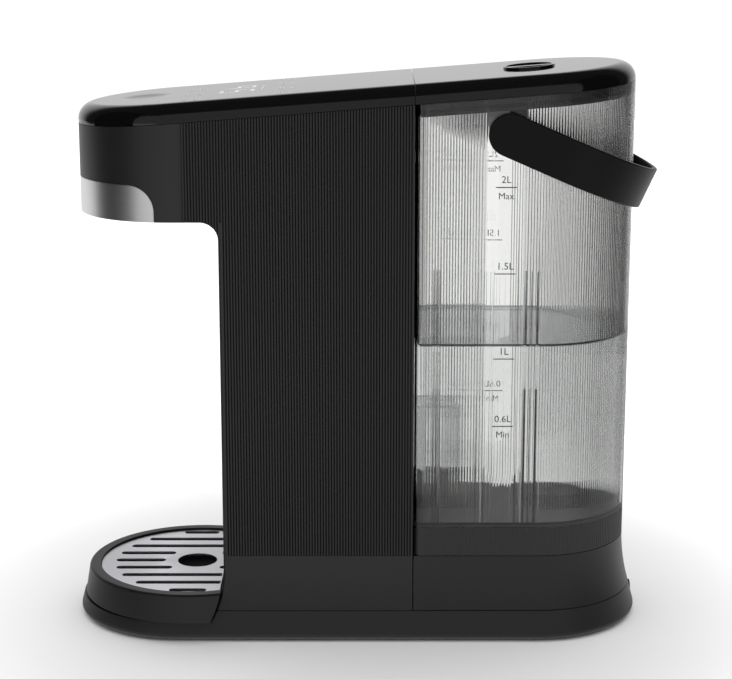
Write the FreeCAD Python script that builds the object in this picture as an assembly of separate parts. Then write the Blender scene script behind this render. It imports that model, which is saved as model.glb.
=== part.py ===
import FreeCAD, Part
import math
import os

V = FreeCAD.Vector
os.makedirs("parts", exist_ok=True)

# Instant hot water dispenser, millimetres, +Z up, spout towards -X.
# The origin is on the floor, under the middle of the overall length.

# Plan of the body
body_half_width = 52.5
head_center_x = -103.6
tank_center_x = 98.5
seam_x = 28.5
seam_gap = 0.3
column_front_x = -76.6
column_corner_r = 1.5
wall = 2.4

# Heights of the body
floor_gap = 1.5
seam_z = 17.8
tongue_top_z = 11.2
flute_foot_z = 48.1
head_bottom_z = 235.6
overhang_fillet_r = 10.0

# Sloping top, given where x is 0
cap_edge_z = 296.0
cap_thickness = 10.5
cap_slope = 0.077
cap_round_r = 9.0
cap_wall = 2.5
cap_gap = 0.3

# Flare of the base
base_front_x = -102.9
flare_radius = 109.0
flare_angle = 14.9
base_floor = 2.5
base_round_r = 3.0
front_sweep_r = 58.0
front_sweep_top_z = 40.0

# Flutes of column and tank
flute_pitch = 1.55
flute_width = 0.85
flute_depth = 0.5
flute_start_x = -97.8
flute_lead = 1.4
soft_flutes = 3

# Steel trim of the head
trim_thickness = 1.2
trim_height = 19.5
trim_end_x = -110.6
trim_corner_r = 14.0
trim_gap = 0.15

# Drip tray and grille
tray_center_x = -96.2
tray_top_r = 61.5
tray_foot_r = 64.1
tray_rim_z = 28.3
tray_skirt_z = 12.8
tray_wall = 2.4
tray_floor = 1.4
tray_round_r = 1.6
tray_gap = 0.4
tray_seat_r = 46.0
grille_r = 55.0
grille_thickness = 1.2
grille_drop = 1.1
grille_gap = 0.3
grille_back_gap = 0.9
grille_ledge = 2.4
slot_pitch = 12.4
slot_width = 4.8
slot_count = 9
slot_reach_r = 52.4
slot_margin = 6.5
slot_shift = -0.9
hub_r = 18.5
hub_shift = 0.5
drain_hole_r = 11.4
slot_edge_margin = 0.6

# Tank
tank_wall = 2.5
tank_floor_z = 64.6
tank_floor = 2.6
tank_corner_r = 5.0
window_x = 77.3
window_half = 9.4
window_foot_z = 93.0
deck_gap = 0.3

# Handle
pivot_x = 78.9
pivot_z = 282.8
handle_width = 26.5
handle_thickness = 3.0
handle_side_gap = 1.0
handle_back_gap = 0.34
handle_rest_angle = 24.0
pivot_pin_r = 4.0
pivot_pin_length = 4.6
pivot_boss_r = 7.0
pivot_boss_height = 3.4
running_gap = 0.05

# Lid
skirt_drop = 7.0
skirt_gap = 0.6
skirt_wall = 2.0
knob_x = 92.5
knob_r = 14.2
knob_rise = 1.2
knob_depth = 6.5
knob_bar = 4.6
knob_wall = 1.6

# Tank valve and its socket
valve_x = 111.0
valve_tube_r = 9.0
valve_wall = 2.5
valve_foot_z = 45.0
valve_seat_z = 52.0
valve_travel = 3.5
valve_flange_r = 15.0
nut_gap = 0.3
strainer_r = 18.0
strainer_height = 8.0
poppet_stem_r = 2.0
poppet_disc_r = 5.3
socket_r = 15.0
socket_floor_z = 38.0
socket_flange_r = 20.0
pin_r = 2.5

# Float and its sensor
float_x = 48.0
float_cage_size = 30.0
float_cage_height = 60.0
float_cage_wall = 1.6
float_r = 12.6
float_height = 18.0

# Touch panel
dish_x = -118.7
dish_r = 15.2
dish_depth = 1.1
board_drop = 7.9
board_thickness = 1.6
board_gap = 1.5
board_x0 = -138.0
board_x1 = -12.0
board_half = 44.0
board_post_r = 3.0
board_post_y = 27.0
board_margin = 6.0
display_x = -67.8
display_half_length = 13.0
display_half_width = 23.0
touch_spring_r = 3.2
touch_rows_x = (-91.6, -42.4)
touch_per_row = 4
touch_pitch = 25.3
lamp_gap = 0.1

# Water path
barb_r = 3.5
barb_wall = 1.2
hose_wall = 1.5
barb_length = 8.0
hose_bend_r = 11.0
pump_axis_z = 25.0
pump_x = 60.0
pump_r = 16.0
pump_length = 18.0
motor_r = 13.0
motor_length = 34.0
impeller_r = 11.0
shaft_r = 1.5
meter_x = 0.0
meter_y = -35.0
meter_r = 11.0
meter_length = 22.0
heater_x = -38.0
heater_r = 17.0
heater_foot_z = 52.0
heater_length = 150.0
heater_wall = 1.5
chamber_r = 16.0
chamber_height = 28.0
nozzle_r = 6.5
nozzle_bore_r = 3.5
nozzle_drop = 6.0

# Inner frame and boards
frame_x = -10.0
frame_thickness = 2.0
frame_half_width = 42.0
frame_top_z = 262.0
power_board_x = 2.0
power_board_half = 38.0
power_board_z = 78.0
power_board_height = 150.0

# Fasteners and feet
screw_r = 1.5
screw_length = 9.0
frame_screw_length = 5.0
screw_head_r = 3.0
screw_head = 0.9
screw_recess = 1.0
screw_clearance = 0.2
head_clearance = 0.3
boss_r = 4.0
boss_gap = 0.1
boss_bore = 12.0
foot_r = 7.5
foot_height = 2.5
foot_clearance = 0.1
cut_over = 1.0

base_floor_top = floor_gap + base_floor
barb_bore_r = barb_r - barb_wall
cap_top_z = cap_edge_z + cap_thickness
tank_x_front = seam_x + seam_gap
hose_r = barb_r + running_gap + hose_wall
grille_top_z = tray_rim_z - grille_drop
far = 400.0


def save(name, solids):
    """Write one node, a single solid or a group of separate solids."""
    if not isinstance(solids, list):
        solids = [solids]
    found = []
    for item in solids:
        found.extend(item.Solids)
    shape = found[0] if len(found) == 1 else Part.makeCompound(found)
    assert shape.isValid(), name
    shape.exportStep("parts/" + name + ".step")
    print(name, len(found), "solids", round(sum(s.Volume for s in found), 1), "mm3")


def box(x0, x1, y0, y1, z0, z1):
    """Block between two values on each axis, in either order."""
    low = V(min(x0, x1), min(y0, y1), min(z0, z1))
    return Part.makeBox(abs(x1 - x0), abs(y1 - y0), abs(z1 - z0), low)


def cyl(r, x, y, z0, z1):
    return Part.makeCylinder(r, abs(z1 - z0), V(x, y, min(z0, z1)))


def cyl_x(r, x0, x1, y, z):
    return Part.makeCylinder(r, abs(x1 - x0), V(min(x0, x1), y, z), V(1, 0, 0))


def cyl_y(r, x, y0, y1, z):
    return Part.makeCylinder(r, abs(y1 - y0), V(x, min(y0, y1), z), V(0, 1, 0))


def tube(r_out, r_in, x, y, z0, z1):
    return cyl(r_out, x, y, z0, z1).cut(cyl(r_in, x, y, z0, z1))


def fused(shapes):
    """Join touching or overlapping solids and drop the seams between them."""
    return shapes[0].multiFuse(shapes[1:]).removeSplitter()


def closed_face(edges):
    return Part.Face(Part.Wire(Part.__sortEdges__(edges)))


def line(a, b):
    return Part.LineSegment(a, b).toShape()


def arc(a, mid, b):
    return Part.Arc(a, mid, b).toShape()


def polygon_y(points, half_depth):
    """Prism across the full width from an outline in x and z."""
    ring = [V(x, -half_depth, z) for x, z in points]
    return Part.Face(Part.makePolygon(ring + ring[:1])).extrude(V(0, 2 * half_depth, 0))


def capsule_sweep(section, x_front, x_rear):
    """Carry a half section in y and z round a plan with two straight sides and round ends."""
    length = x_rear - x_front
    rear = section.translated(V(x_rear, 0, 0)).revolve(V(x_rear, 0, 0), V(0, 0, 1), -180)
    front = section.translated(V(x_front, 0, 0)).revolve(V(x_front, 0, 0), V(0, 0, 1), 180)
    far_side = section.translated(V(x_front, 0, 0)).extrude(V(length, 0, 0))
    near_side = far_side.mirror(V(0, 0, 0), V(0, 1, 0))
    return rear.multiFuse([front, far_side, near_side]).removeSplitter()


def capsule_plan(inset, z0, z1):
    """Plain upright body with the capsule plan of head and tank, drawn in by an inset."""
    r = body_half_width - inset
    ring = [V(0, 0, z0), V(0, r, z0), V(0, r, z1), V(0, 0, z1)]
    return capsule_sweep(Part.Face(Part.makePolygon(ring + ring[:1])), head_center_x, tank_center_x)


def below_slope(z_at_0):
    """Everything under the sloping plane that crosses x = 0 at the given height."""
    drop = cap_slope * far
    return polygon_y([(-far, -50), (far, -50), (far, z_at_0 + drop), (-far, z_at_0 - drop)], far)


def slope_slab(low_at_0, high_at_0, x0, x1, half):
    """Sloping slab between two heights given at x = 0."""
    return polygon_y([(x0, low_at_0 + cap_slope * x0), (x1, low_at_0 + cap_slope * x1),
                      (x1, high_at_0 + cap_slope * x1), (x0, high_at_0 + cap_slope * x0)], half)


def slope_z(z_at_0, x):
    return z_at_0 + cap_slope * x


def flare_line(z, inset):
    """Radius of the straight lower flank of the flare."""
    a = math.radians(flare_angle)
    arc_r = flare_radius + inset
    end_r = body_half_width + flare_radius - arc_r * math.cos(a)
    end_z = flute_foot_z - arc_r * math.sin(a)
    return end_r + (end_z - z) * math.tan(a)


def flare_section(z_low, inset):
    """Half section of the flared band, up to the foot of the flutes."""
    a = math.radians(flare_angle)
    arc_r = flare_radius + inset
    center_y = body_half_width + flare_radius
    mid = V(0, center_y - arc_r * math.cos(a / 2), flute_foot_z - arc_r * math.sin(a / 2))
    end = V(0, center_y - arc_r * math.cos(a), flute_foot_z - arc_r * math.sin(a))
    top = V(0, body_half_width - inset, flute_foot_z)
    low = V(0, flare_line(z_low, inset), z_low)
    return closed_face([line(V(0, 0, flute_foot_z), top), arc(top, mid, end), line(end, low),
                        line(low, V(0, 0, z_low)), line(V(0, 0, z_low), V(0, 0, flute_foot_z))])


def sweep_x(z, setback):
    """Front face of the body where it sweeps forward to the tongue."""
    drop = front_sweep_top_z - z
    if drop <= 0:
        return column_front_x + setback
    r = front_sweep_r + setback
    return column_front_x - front_sweep_r + math.sqrt(r * r - drop * drop)


def behind_sweep(z_low, z_high, setback):
    """Region behind the swept front face, moved back by a setback."""
    cx = column_front_x - front_sweep_r
    r = front_sweep_r + setback
    top_z = min(front_sweep_top_z, z_high)
    z_mid = (z_low + top_z) / 2
    low = V(sweep_x(z_low, setback), -far, z_low)
    mid = V(cx + math.sqrt(r * r - (front_sweep_top_z - z_mid) ** 2), -far, z_mid)
    top = V(sweep_x(top_z, setback), -far, top_z)
    edges = [arc(low, mid, top)]
    corner = top
    if z_high > top_z:
        corner = V(column_front_x + setback, -far, z_high)
        edges.append(line(top, corner))
    edges.append(line(corner, V(far, -far, z_high)))
    edges.append(line(V(far, -far, z_high), V(far, -far, z_low)))
    edges.append(line(V(far, -far, z_low), low))
    return closed_face(edges).extrude(V(0, 2 * far, 0))


def flutes_between(start, end, inward, first, count, plain=None, soft=0):
    """Points of a straight wall with a row of flutes, but none where x lies in the plain stretch.

    The last flutes of a soft run grow shallower towards its end.
    """
    along = (end - start).normalize()
    points = [start]
    for i in range(count):
        s = first + i * flute_pitch
        middle = start + along * s
        if plain and plain[0] < middle.x < plain[1]:
            continue
        depth = flute_depth * min(1.0, (count - i) / (soft + 1))
        points.append(start + along * (s - flute_width / 2))
        points.append(middle + inward * depth)
        points.append(start + along * (s + flute_width / 2))
    points.append(end)
    return points


def centred_flutes(start, end, inward):
    """Wall with whole flutes centred between its ends."""
    length = (end - start).Length
    count = int(length / flute_pitch + 0.001)
    first = (length - count * flute_pitch) / 2 + flute_pitch / 2
    return flutes_between(start, end, inward, first, count)


def side_flutes(x0, x1, plain=None, soft=0):
    """Near side of the body from x0 to x1, its first flute set off from x0 by the lead."""
    length = abs(x1 - x0)
    count = int((length - flute_lead - flute_width / 2) / flute_pitch) + 1
    return flutes_between(V(x0, -body_half_width, 0), V(x1, -body_half_width, 0), V(0, 1, 0),
                          flute_lead, count, plain, soft)


def mirrored(points):
    """The same wall on the far side, walked the other way."""
    return [V(p.x, -p.y, 0) for p in reversed(points)]


def fluted_arc(cx, cy, r, a0, a1):
    """Points of a fluted round wall about an upright axis, angles in degrees."""
    span = math.radians(abs(a1 - a0))
    count = int(round(span * r / flute_pitch))
    step = (a1 - a0) / count
    half = math.degrees(flute_width / 2 / r) * (1 if a1 > a0 else -1)
    points = []
    for i in range(count):
        mid = a0 + (i + 0.5) * step
        for angle, radius in ((mid - half, r), (mid, r - flute_depth), (mid + half, r)):
            t = math.radians(angle)
            points.append(V(cx + radius * math.cos(t), cy + radius * math.sin(t), 0))
    return points


def chain(points):
    """Straight edges from point to point."""
    return [line(a, b) for a, b in zip(points[:-1], points[1:]) if (a - b).Length > 0.001]


def corner(a, b, cx, cy):
    """Quarter-circle edge from a to b about an upright axis."""
    center = V(cx, cy, 0)
    mid = center + ((a + b) * 0.5 - center).normalize() * (a - center).Length
    return arc(a, mid, b)


def raised(edges, z0, z1):
    """Upright body over a closed plan."""
    return Part.Face(Part.Wire(edges)).translated(V(0, 0, z0)).extrude(V(0, 0, z1 - z0))


def run_along(points, r, bend_r):
    """Round bar along straight runs joined by tangent bends."""
    pieces = []
    start = points[0]
    for i in range(1, len(points)):
        direction = (points[i] - points[i - 1]).normalize()
        end = points[i]
        turn = 0.0
        if i < len(points) - 1:
            after = (points[i + 1] - points[i]).normalize()
            turn = direction.getAngle(after)
            end = points[i] - direction * (bend_r * math.tan(turn / 2))
        pieces.append(Part.makeCylinder(r, (end - start).Length, start, direction))
        if turn > 0:
            axis = direction.cross(after).normalize()
            side = axis.cross(direction).normalize()
            face = Part.Face(Part.Wire(Part.makeCircle(r, end, direction)))
            pieces.append(face.revolve(end + side * bend_r, axis, math.degrees(turn)))
            start = points[i] + after * (bend_r * math.tan(turn / 2))
    return fused(pieces) if len(pieces) > 1 else pieces[0]


def hose(points, r_out, r_in, bend_r):
    return run_along(points, r_out, bend_r).cut(run_along(points, r_in, bend_r))


def round_corners(shape, r, z_low, z_high):
    """Round the two edges where the swept front meets the flared sides."""
    corners = []
    for e in shape.Edges:
        mid = e.valueAt((e.FirstParameter + e.LastParameter) / 2)
        upright = all(z_low - 0.01 < v.Z < z_high + 0.01 for v in e.Vertexes)
        tall = len(e.Vertexes) == 2 and abs(e.Vertexes[0].Z - e.Vertexes[1].Z) > 1
        if upright and tall and mid.x < column_front_x + 4 and mid.x > base_front_x + 2:
            corners.append(e)
    return shape.makeFillet(r, corners)


# Base ring: flared bottom housing with a floor, side walls and the tongue under the tray
def base_section():
    a = math.radians(flare_angle)
    tangent_z = floor_gap + base_round_r * (1 + math.sin(a))
    center_y = flare_line(tangent_z, 0) - base_round_r * math.cos(a)
    center_z = floor_gap + base_round_r
    low = V(0, center_y, floor_gap)
    wide = V(0, center_y + base_round_r, center_z)
    tangent = V(0, flare_line(tangent_z, 0), tangent_z)
    top = V(0, flare_line(seam_z, 0), seam_z)
    return closed_face([line(V(0, 0, floor_gap), low), arc(low, wide, tangent), line(tangent, top),
                        line(top, V(0, 0, seam_z)), line(V(0, 0, seam_z), V(0, 0, floor_gap))])


def base_cavity(z_low, z_high):
    inset = wall
    ring = [V(0, 0, z_low), V(0, flare_line(z_low, inset), z_low),
            V(0, flare_line(z_high, inset), z_high), V(0, 0, z_high)]
    section = Part.Face(Part.makePolygon(ring + ring[:1]))
    return capsule_sweep(section, base_front_x, tank_center_x)


tongue_deck = 2.2
corner_post_x = -62.0
corner_post_y = body_half_width - 14.5
side_post_x = -20.0
side_post_y = body_half_width - 7.0
cradle_post_x = 40.0
rear_post_x = tank_center_x + body_half_width - 12.0
frame_screw_x = 0.0
frame_screw_y = 16.0
foot_front_x = -118.0
foot_rear_x = 112.0
foot_y = 32.0
vent_count = 7
vent_pitch = 6.0
vent_width = 2.0
vent_x0 = -30.0
vent_x1 = -14.0
gland_z = 10.8
gland_r = 4.5
gland_fit = 0.05
gland_length = 7.0
gland_collar = 2.8
gland_collar_rise = 1.5
gland_bore_r = 3.0
gland_recess = 0.3
shell_spots = [(corner_post_x, -corner_post_y), (corner_post_x, corner_post_y),
               (side_post_x, -side_post_y), (side_post_x, side_post_y)]
cradle_spots = [(cradle_post_x, -side_post_y), (cradle_post_x, side_post_y), (rear_post_x, 0.0)]
frame_spots = [(frame_screw_x, -frame_screw_y), (frame_screw_x, frame_screw_y)]
screw_spots = shell_spots + cradle_spots
foot_spots = [(x, side * foot_y) for x in (foot_front_x, foot_rear_x) for side in (-1, 1)]
recess_top = floor_gap + screw_recess

base = capsule_sweep(base_section(), base_front_x, tank_center_x)
ahead = box(-far, far, -far, far, tongue_top_z, seam_z + cut_over)
ahead = ahead.cut(behind_sweep(tongue_top_z, seam_z + cut_over, 0))
base = round_corners(base.cut(ahead), column_corner_r, tongue_top_z, seam_z)
low_cavity = base_cavity(base_floor_top, tongue_top_z - tongue_deck)
high_cavity = base_cavity(base_floor_top, seam_z + cut_over)
high_cavity = high_cavity.common(behind_sweep(base_floor_top, seam_z + cut_over, wall))
base = base.cut(low_cavity.fuse(high_cavity))
holes = []
for x, y in screw_spots + frame_spots:
    holes.append(cyl(screw_r + screw_clearance, x, y, 0, base_floor_top + cut_over))
    holes.append(cyl(screw_head_r + head_clearance, x, y, 0, recess_top))
for x, y in foot_spots:
    holes.append(cyl(foot_r + foot_clearance, x, y, 0, foot_height))
for i in range(vent_count):
    y = (i - (vent_count - 1) / 2) * vent_pitch
    holes.append(box(vent_x0, vent_x1, y - vent_width / 2, y + vent_width / 2, 0, base_floor_top + cut_over))
base_rear_x = tank_center_x + flare_line(gland_z, 0)
holes.append(cyl_x(gland_r, base_rear_x - gland_length - cut_over, base_rear_x + gland_length, 0, gland_z))
base = base.cut(Part.makeCompound(holes))
save("base_ring", base)

gland_x0 = base_rear_x - gland_length
gland = fused([cyl_x(gland_r - gland_fit, gland_x0, base_rear_x - gland_recess, 0, gland_z),
               cyl_x(gland_r + gland_collar_rise, gland_x0, gland_x0 + gland_collar, 0, gland_z)])
gland = gland.cut(cyl_x(gland_bore_r, gland_x0 - cut_over, base_rear_x, 0, gland_z))
save("cord_gland", gland)

save("feet", [cyl(foot_r, x, y, 0, foot_height) for x, y in foot_spots])


def screw(x, y, length):
    """Screw driven up from below, its head in the recess."""
    return fused([cyl(screw_head_r, x, y, recess_top - screw_head, recess_top),
                  cyl(screw_r, x, y, recess_top, recess_top + length)])


screws = [screw(x, y, screw_length) for x, y in screw_spots]
screws += [screw(x, y, frame_screw_length) for x, y in frame_spots]
save("base_screws", screws)


# Column shell: one moulding with fluted sides, smooth head and flared foot
def column_outline(z0, z1):
    """Fluted plan of the column, straight across the back."""
    w = body_half_width
    r = column_corner_r
    front = column_front_x
    near = side_flutes(seam_x, front + r)
    face = centred_flutes(V(front, -w + r, 0), V(front, w - r, 0), V(1, 0, 0))
    far_side = mirrored(near)
    edges = chain(near) + [corner(near[-1], face[0], front + r, -w + r)]
    edges += chain(face) + [corner(face[-1], far_side[0], front + r, w - r)]
    edges += chain(far_side) + [line(far_side[-1], near[0])]
    return raised(edges, z0, z1)


def head_outline(z0, z1):
    """Smooth round front, with cheeks whose flutes carry on those of the column."""
    w = body_half_width
    near = side_flutes(seam_x, flute_start_x, soft=soft_flutes) + [V(head_center_x, -w, 0)]
    far_side = mirrored(near)
    nose = arc(near[-1], V(head_center_x - w, 0, 0), far_side[0])
    return raised(chain(near) + [nose] + chain(far_side) + [line(far_side[-1], near[0])], z0, z1)


def overhang_gusset():
    """Concave fillet under the overhang, carried round both front corners of the column."""
    r = overhang_fillet_r
    c = column_corner_r
    z_top = head_bottom_z
    x0 = column_front_x
    mid = V(-r + r * math.cos(math.pi / 4), 0, -r + r * math.sin(math.pi / 4))
    section = closed_face([line(V(0, 0, 0), V(-r, 0, 0)), arc(V(-r, 0, 0), mid, V(0, 0, -r)),
                           line(V(0, 0, -r), V(0, 0, 0))])
    straight = section.translated(V(x0, -body_half_width + c, z_top))
    straight = straight.extrude(V(0, 2 * (body_half_width - c), 0))
    parts = [straight]
    for side in (-1, 1):
        cy = side * (body_half_width - c)
        corner = section.translated(V(x0, cy, z_top))
        parts.append(corner.revolve(V(x0 + c, cy, 0), V(0, 0, 1), 90 * side * -1))
    return fused(parts)


top_limit = below_slope(cap_edge_z)
column = column_outline(flute_foot_z, head_bottom_z)
head = head_outline(head_bottom_z, far * 0.8)
gusset = overhang_gusset().common(head_outline(head_bottom_z - overhang_fillet_r, head_bottom_z))
band = capsule_sweep(flare_section(seam_z, 0), base_front_x, tank_center_x)
band = band.common(behind_sweep(seam_z, flute_foot_z, 0)).common(box(-far, seam_x, -far, far, 0, far))
band = round_corners(band, column_corner_r, seam_z, flute_foot_z)
shell = fused([column, head, gusset, band]).common(top_limit)

inner_half = body_half_width - wall
plate_z1 = head_bottom_z + wall
mouth_margin = 0.6
plate_back_x = column_front_x - overhang_fillet_r - mouth_margin
ahead_of_seam = box(-far, seam_x, -far, far, 0, far)
upper_room = capsule_plan(wall, plate_z1, far).common(ahead_of_seam)
mouth = capsule_plan(wall, head_bottom_z - cut_over, plate_z1)
mouth = mouth.common(box(-far, plate_back_x, -far, far, 0, far))
column_room = box(column_front_x + wall, seam_x, -inner_half, inner_half, flute_foot_z, plate_z1)
band_room = capsule_sweep(flare_section(seam_z - cut_over, wall), base_front_x, tank_center_x)
band_room = band_room.common(behind_sweep(seam_z - cut_over, flute_foot_z, wall)).common(ahead_of_seam)
shell = shell.cut(fused([upper_room, mouth, column_room, band_room]))


def trim_side(grow):
    """Side outline of the trim, a band with one round top corner, as a full-width prism."""
    z0 = head_bottom_z - cut_over
    z1 = head_bottom_z + trim_height + grow
    x1 = trim_end_x + grow
    r = trim_corner_r
    mid = V(x1 - r + r * math.cos(math.pi / 4), -far, z1 - r + r * math.sin(math.pi / 4))
    edges = [line(V(-far, -far, z0), V(x1, -far, z0)), line(V(x1, -far, z0), V(x1, -far, z1 - r)),
             arc(V(x1, -far, z1 - r), mid, V(x1 - r, -far, z1)),
             line(V(x1 - r, -far, z1), V(-far, -far, z1)), line(V(-far, -far, z1), V(-far, -far, z0))]
    return closed_face(edges).extrude(V(0, 2 * far, 0))


trim_z1 = head_bottom_z + trim_height
trim_ring = capsule_plan(0, head_bottom_z, trim_z1).cut(capsule_plan(trim_thickness, 0, far))
trim = trim_ring.common(trim_side(0))
recess = capsule_plan(-cut_over, head_bottom_z - cut_over, far)
recess = recess.cut(capsule_plan(trim_thickness + trim_gap, 0, far))
recess = recess.common(trim_side(trim_gap))
shell = shell.cut(recess)
posts = []
post_top_z = flute_foot_z - 4.0
web_half = wall / 2
for x, y in shell_spots:
    posts.append(cyl(boss_r, x, y, base_floor_top + boss_gap, post_top_z))
    outer_y = math.copysign(body_half_width - wall / 4, y)
    posts.append(box(x - web_half, x + web_half, y, outer_y, seam_z + boss_gap, post_top_z))
shell = fused([shell] + posts)
for x, y in shell_spots:
    shell = shell.cut(cyl(screw_r, x, y, 0, base_floor_top + boss_bore))
rear_wall_x = seam_x - wall
rear_wall_thickness = 2.2
wall_screw_low_z = flute_foot_z + 21.9
wall_screw_high_z = cap_edge_z - 26.0
wall_spots = [(side * side_post_y, z) for z in (wall_screw_low_z, wall_screw_high_z) for side in (-1, 1)]
wall_boss_length = 11.0
wall_boss_half = 5.0
bosses = []
for y, z in wall_spots:
    side = math.copysign(1, y)
    bosses.append(box(rear_wall_x - wall_boss_length, rear_wall_x, y - side * boss_r,
                      side * (inner_half + wall / 4), z - wall_boss_half, z + wall_boss_half))
shell = fused([shell] + bosses)
for y, z in wall_spots:
    shell = shell.cut(cyl_x(screw_r, rear_wall_x - wall_boss_length + cut_over, far, y, z))
save("column_shell", shell)
save("spout_trim", trim)

# Rear wall of the column, screwed in from the tank side
plate_gap = 0.15
rear_wall_foot_gap = 0.4
rear_half = inner_half - plate_gap
rear_wall = box(rear_wall_x, rear_wall_x + rear_wall_thickness, -rear_half, rear_half,
                flute_foot_z + rear_wall_foot_gap, far * 0.8).common(below_slope(cap_edge_z - cap_gap))
head_seat_x = rear_wall_x + rear_wall_thickness / 2
wall_screws = []
for y, z in wall_spots:
    rear_wall = rear_wall.cut(cyl_x(screw_r + screw_clearance, rear_wall_x - cut_over, far, y, z))
    rear_wall = rear_wall.cut(cyl_x(screw_head_r + screw_clearance, head_seat_x, far, y, z))
    wall_screws.append(fused([cyl_x(screw_head_r, head_seat_x, head_seat_x + screw_head, y, z),
                              cyl_x(screw_r, head_seat_x - screw_length, head_seat_x, y, z)]))
save("column_rear_wall", rear_wall)
save("wall_screws", wall_screws)


# Panel and lid: sloping caps with a rounded rim, open underneath
def rounded_slab(inset, x0, x1, seam_side, low_at_0, high_at_0):
    """Sloping slab on the body's plan, its top rim rounded everywhere but along the seam."""
    block = capsule_plan(inset, flute_foot_z, far).common(box(x0, x1, -far, far, 0, far))
    block = block.common(slope_slab(low_at_0, high_at_0, -far, far, far))
    rim = []
    for e in block.Edges:
        mid = e.valueAt((e.FirstParameter + e.LastParameter) / 2)
        points = [v.Point for v in e.Vertexes] + [mid]
        on_top = all(abs(p.z - slope_z(high_at_0, p.x)) < 0.01 for p in points)
        on_seam = all(abs(p.x - seam_side) < 0.01 for p in points)
        if on_top and not on_seam:
            rim.append(e)
    return block.makeFillet(cap_round_r - inset, rim)


cap_low = cap_edge_z + cap_gap
room_top = cap_top_z - cap_wall


slope_angle = math.degrees(math.atan(cap_slope))


def on_slope(shape, x):
    """Place a shape drawn about the origin on the sloping top at x."""
    turned = shape.rotated(V(0, 0, 0), V(0, 1, 0), -slope_angle)
    return turned.translated(V(x, 0, slope_z(cap_top_z, x)))


def post_to_slope(r, x, y, low_at_0, high_at_0):
    """Upright round post between two sloping planes."""
    return cyl(r, x, y, 0, far).common(slope_slab(low_at_0, high_at_0, -far, far, far))


board_top = cap_top_z - board_drop
board_spots = [(x, side * board_post_y) for x in (board_x0 + board_margin, board_x1 - board_margin)
               for side in (-1, 1)]
panel = rounded_slab(0, -far, seam_x, seam_x, cap_low, cap_top_z)
panel_inner_x = seam_x - cap_wall
panel = panel.cut(rounded_slab(cap_wall, -far, panel_inner_x, panel_inner_x, cap_low - cut_over, room_top))
sphere_r = (dish_r ** 2 + dish_depth ** 2) / (2 * dish_depth)
dish = Part.makeSphere(sphere_r, V(0, 0, sphere_r - dish_depth))
panel = panel.cut(on_slope(dish, dish_x))
posts = [post_to_slope(board_post_r, x, y, board_top, cap_top_z - cap_wall / 2) for x, y in board_spots]
panel = fused([panel] + posts)
save("top_panel", panel)

board = slope_slab(board_top - board_thickness, board_top, board_x0, board_x1, board_half)
board = board.common(capsule_plan(cap_wall + board_gap, 0, far))
save("control_board", board)
display = slope_slab(board_top, room_top - lamp_gap, display_x - display_half_length,
                     display_x + display_half_length, display_half_width)
save("display_module", display)
touch_spots = [(dish_x, 0.0)]
for i in range(touch_per_row):
    y = (i - (touch_per_row - 1) / 2) * touch_pitch
    touch_spots += [(x, y) for x in touch_rows_x]
springs = [post_to_slope(touch_spring_r, x, y, board_top, room_top - lamp_gap) for x, y in touch_spots]
save("touch_springs", springs)

# Head underside, nozzle and the chamber that parts steam from water
chamber_x = tray_center_x
post_y = 23.0
plate_post_r = 3.0
lug_z = plate_z1 + 13.0
nozzle_fit = 0.1
plate = capsule_plan(wall + plate_gap, head_bottom_z, plate_z1)
plate = plate.common(box(-far, plate_back_x - plate_gap, -far, far, 0, far))
post_low_z = head_bottom_z + wall / 4
plate_posts = [cyl(plate_post_r, chamber_x, side * post_y, post_low_z, lug_z) for side in (-1, 1)]
plate = fused([plate] + plate_posts)
plate = plate.cut(cyl(nozzle_r + nozzle_fit, chamber_x, 0, 0, far))
save("head_underside", plate)

nozzle_flange = 2.4
nozzle_flange_r = nozzle_r + 3.5
seal_height = 1.6
seal_z = plate_z1 + nozzle_flange
nozzle = fused([cyl(nozzle_r, chamber_x, 0, head_bottom_z - nozzle_drop, seal_z),
                cyl(nozzle_flange_r, chamber_x, 0, plate_z1, seal_z)])
nozzle = nozzle.cut(cyl(nozzle_bore_r, chamber_x, 0, 0, far))
save("nozzle", nozzle)
chamber_z0 = seal_z + seal_height
nozzle_seal_r = nozzle_flange_r - 1.5
nozzle_seal_bore_r = nozzle_bore_r + 0.5
save("nozzle_seal", tube(nozzle_seal_r, nozzle_seal_bore_r, chamber_x, 0, seal_z, chamber_z0))

chamber_z1 = chamber_z0 + chamber_height
chamber_wall = 2.0
inlet_z = chamber_z1 - 8.0
barb_step = 1.0
lug_half = 4.0
lug_thickness = 2.5
lug_reach = post_y + lug_half
lug_top_z = lug_z + lug_thickness
barb_end_x = chamber_x + chamber_r + barb_step + barb_length
chamber = fused([cyl(chamber_r, chamber_x, 0, chamber_z0, chamber_z1),
                 cyl_x(barb_r, chamber_x, barb_end_x, 0, inlet_z),
                 box(chamber_x - lug_half, chamber_x + lug_half, -lug_reach, lug_reach, lug_z, lug_top_z)])
room_r = chamber_r - chamber_wall
chamber = chamber.cut(cyl(room_r, chamber_x, 0, chamber_z0 + chamber_wall, chamber_z1 - chamber_wall))
chamber = chamber.cut(cyl(nozzle_bore_r, chamber_x, 0, chamber_z0 - cut_over, chamber_z0 + 2 * chamber_wall))
chamber = chamber.cut(cyl_x(barb_bore_r, chamber_x + room_r - cut_over, far, 0, inlet_z))
save("steam_chamber", chamber)

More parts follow.
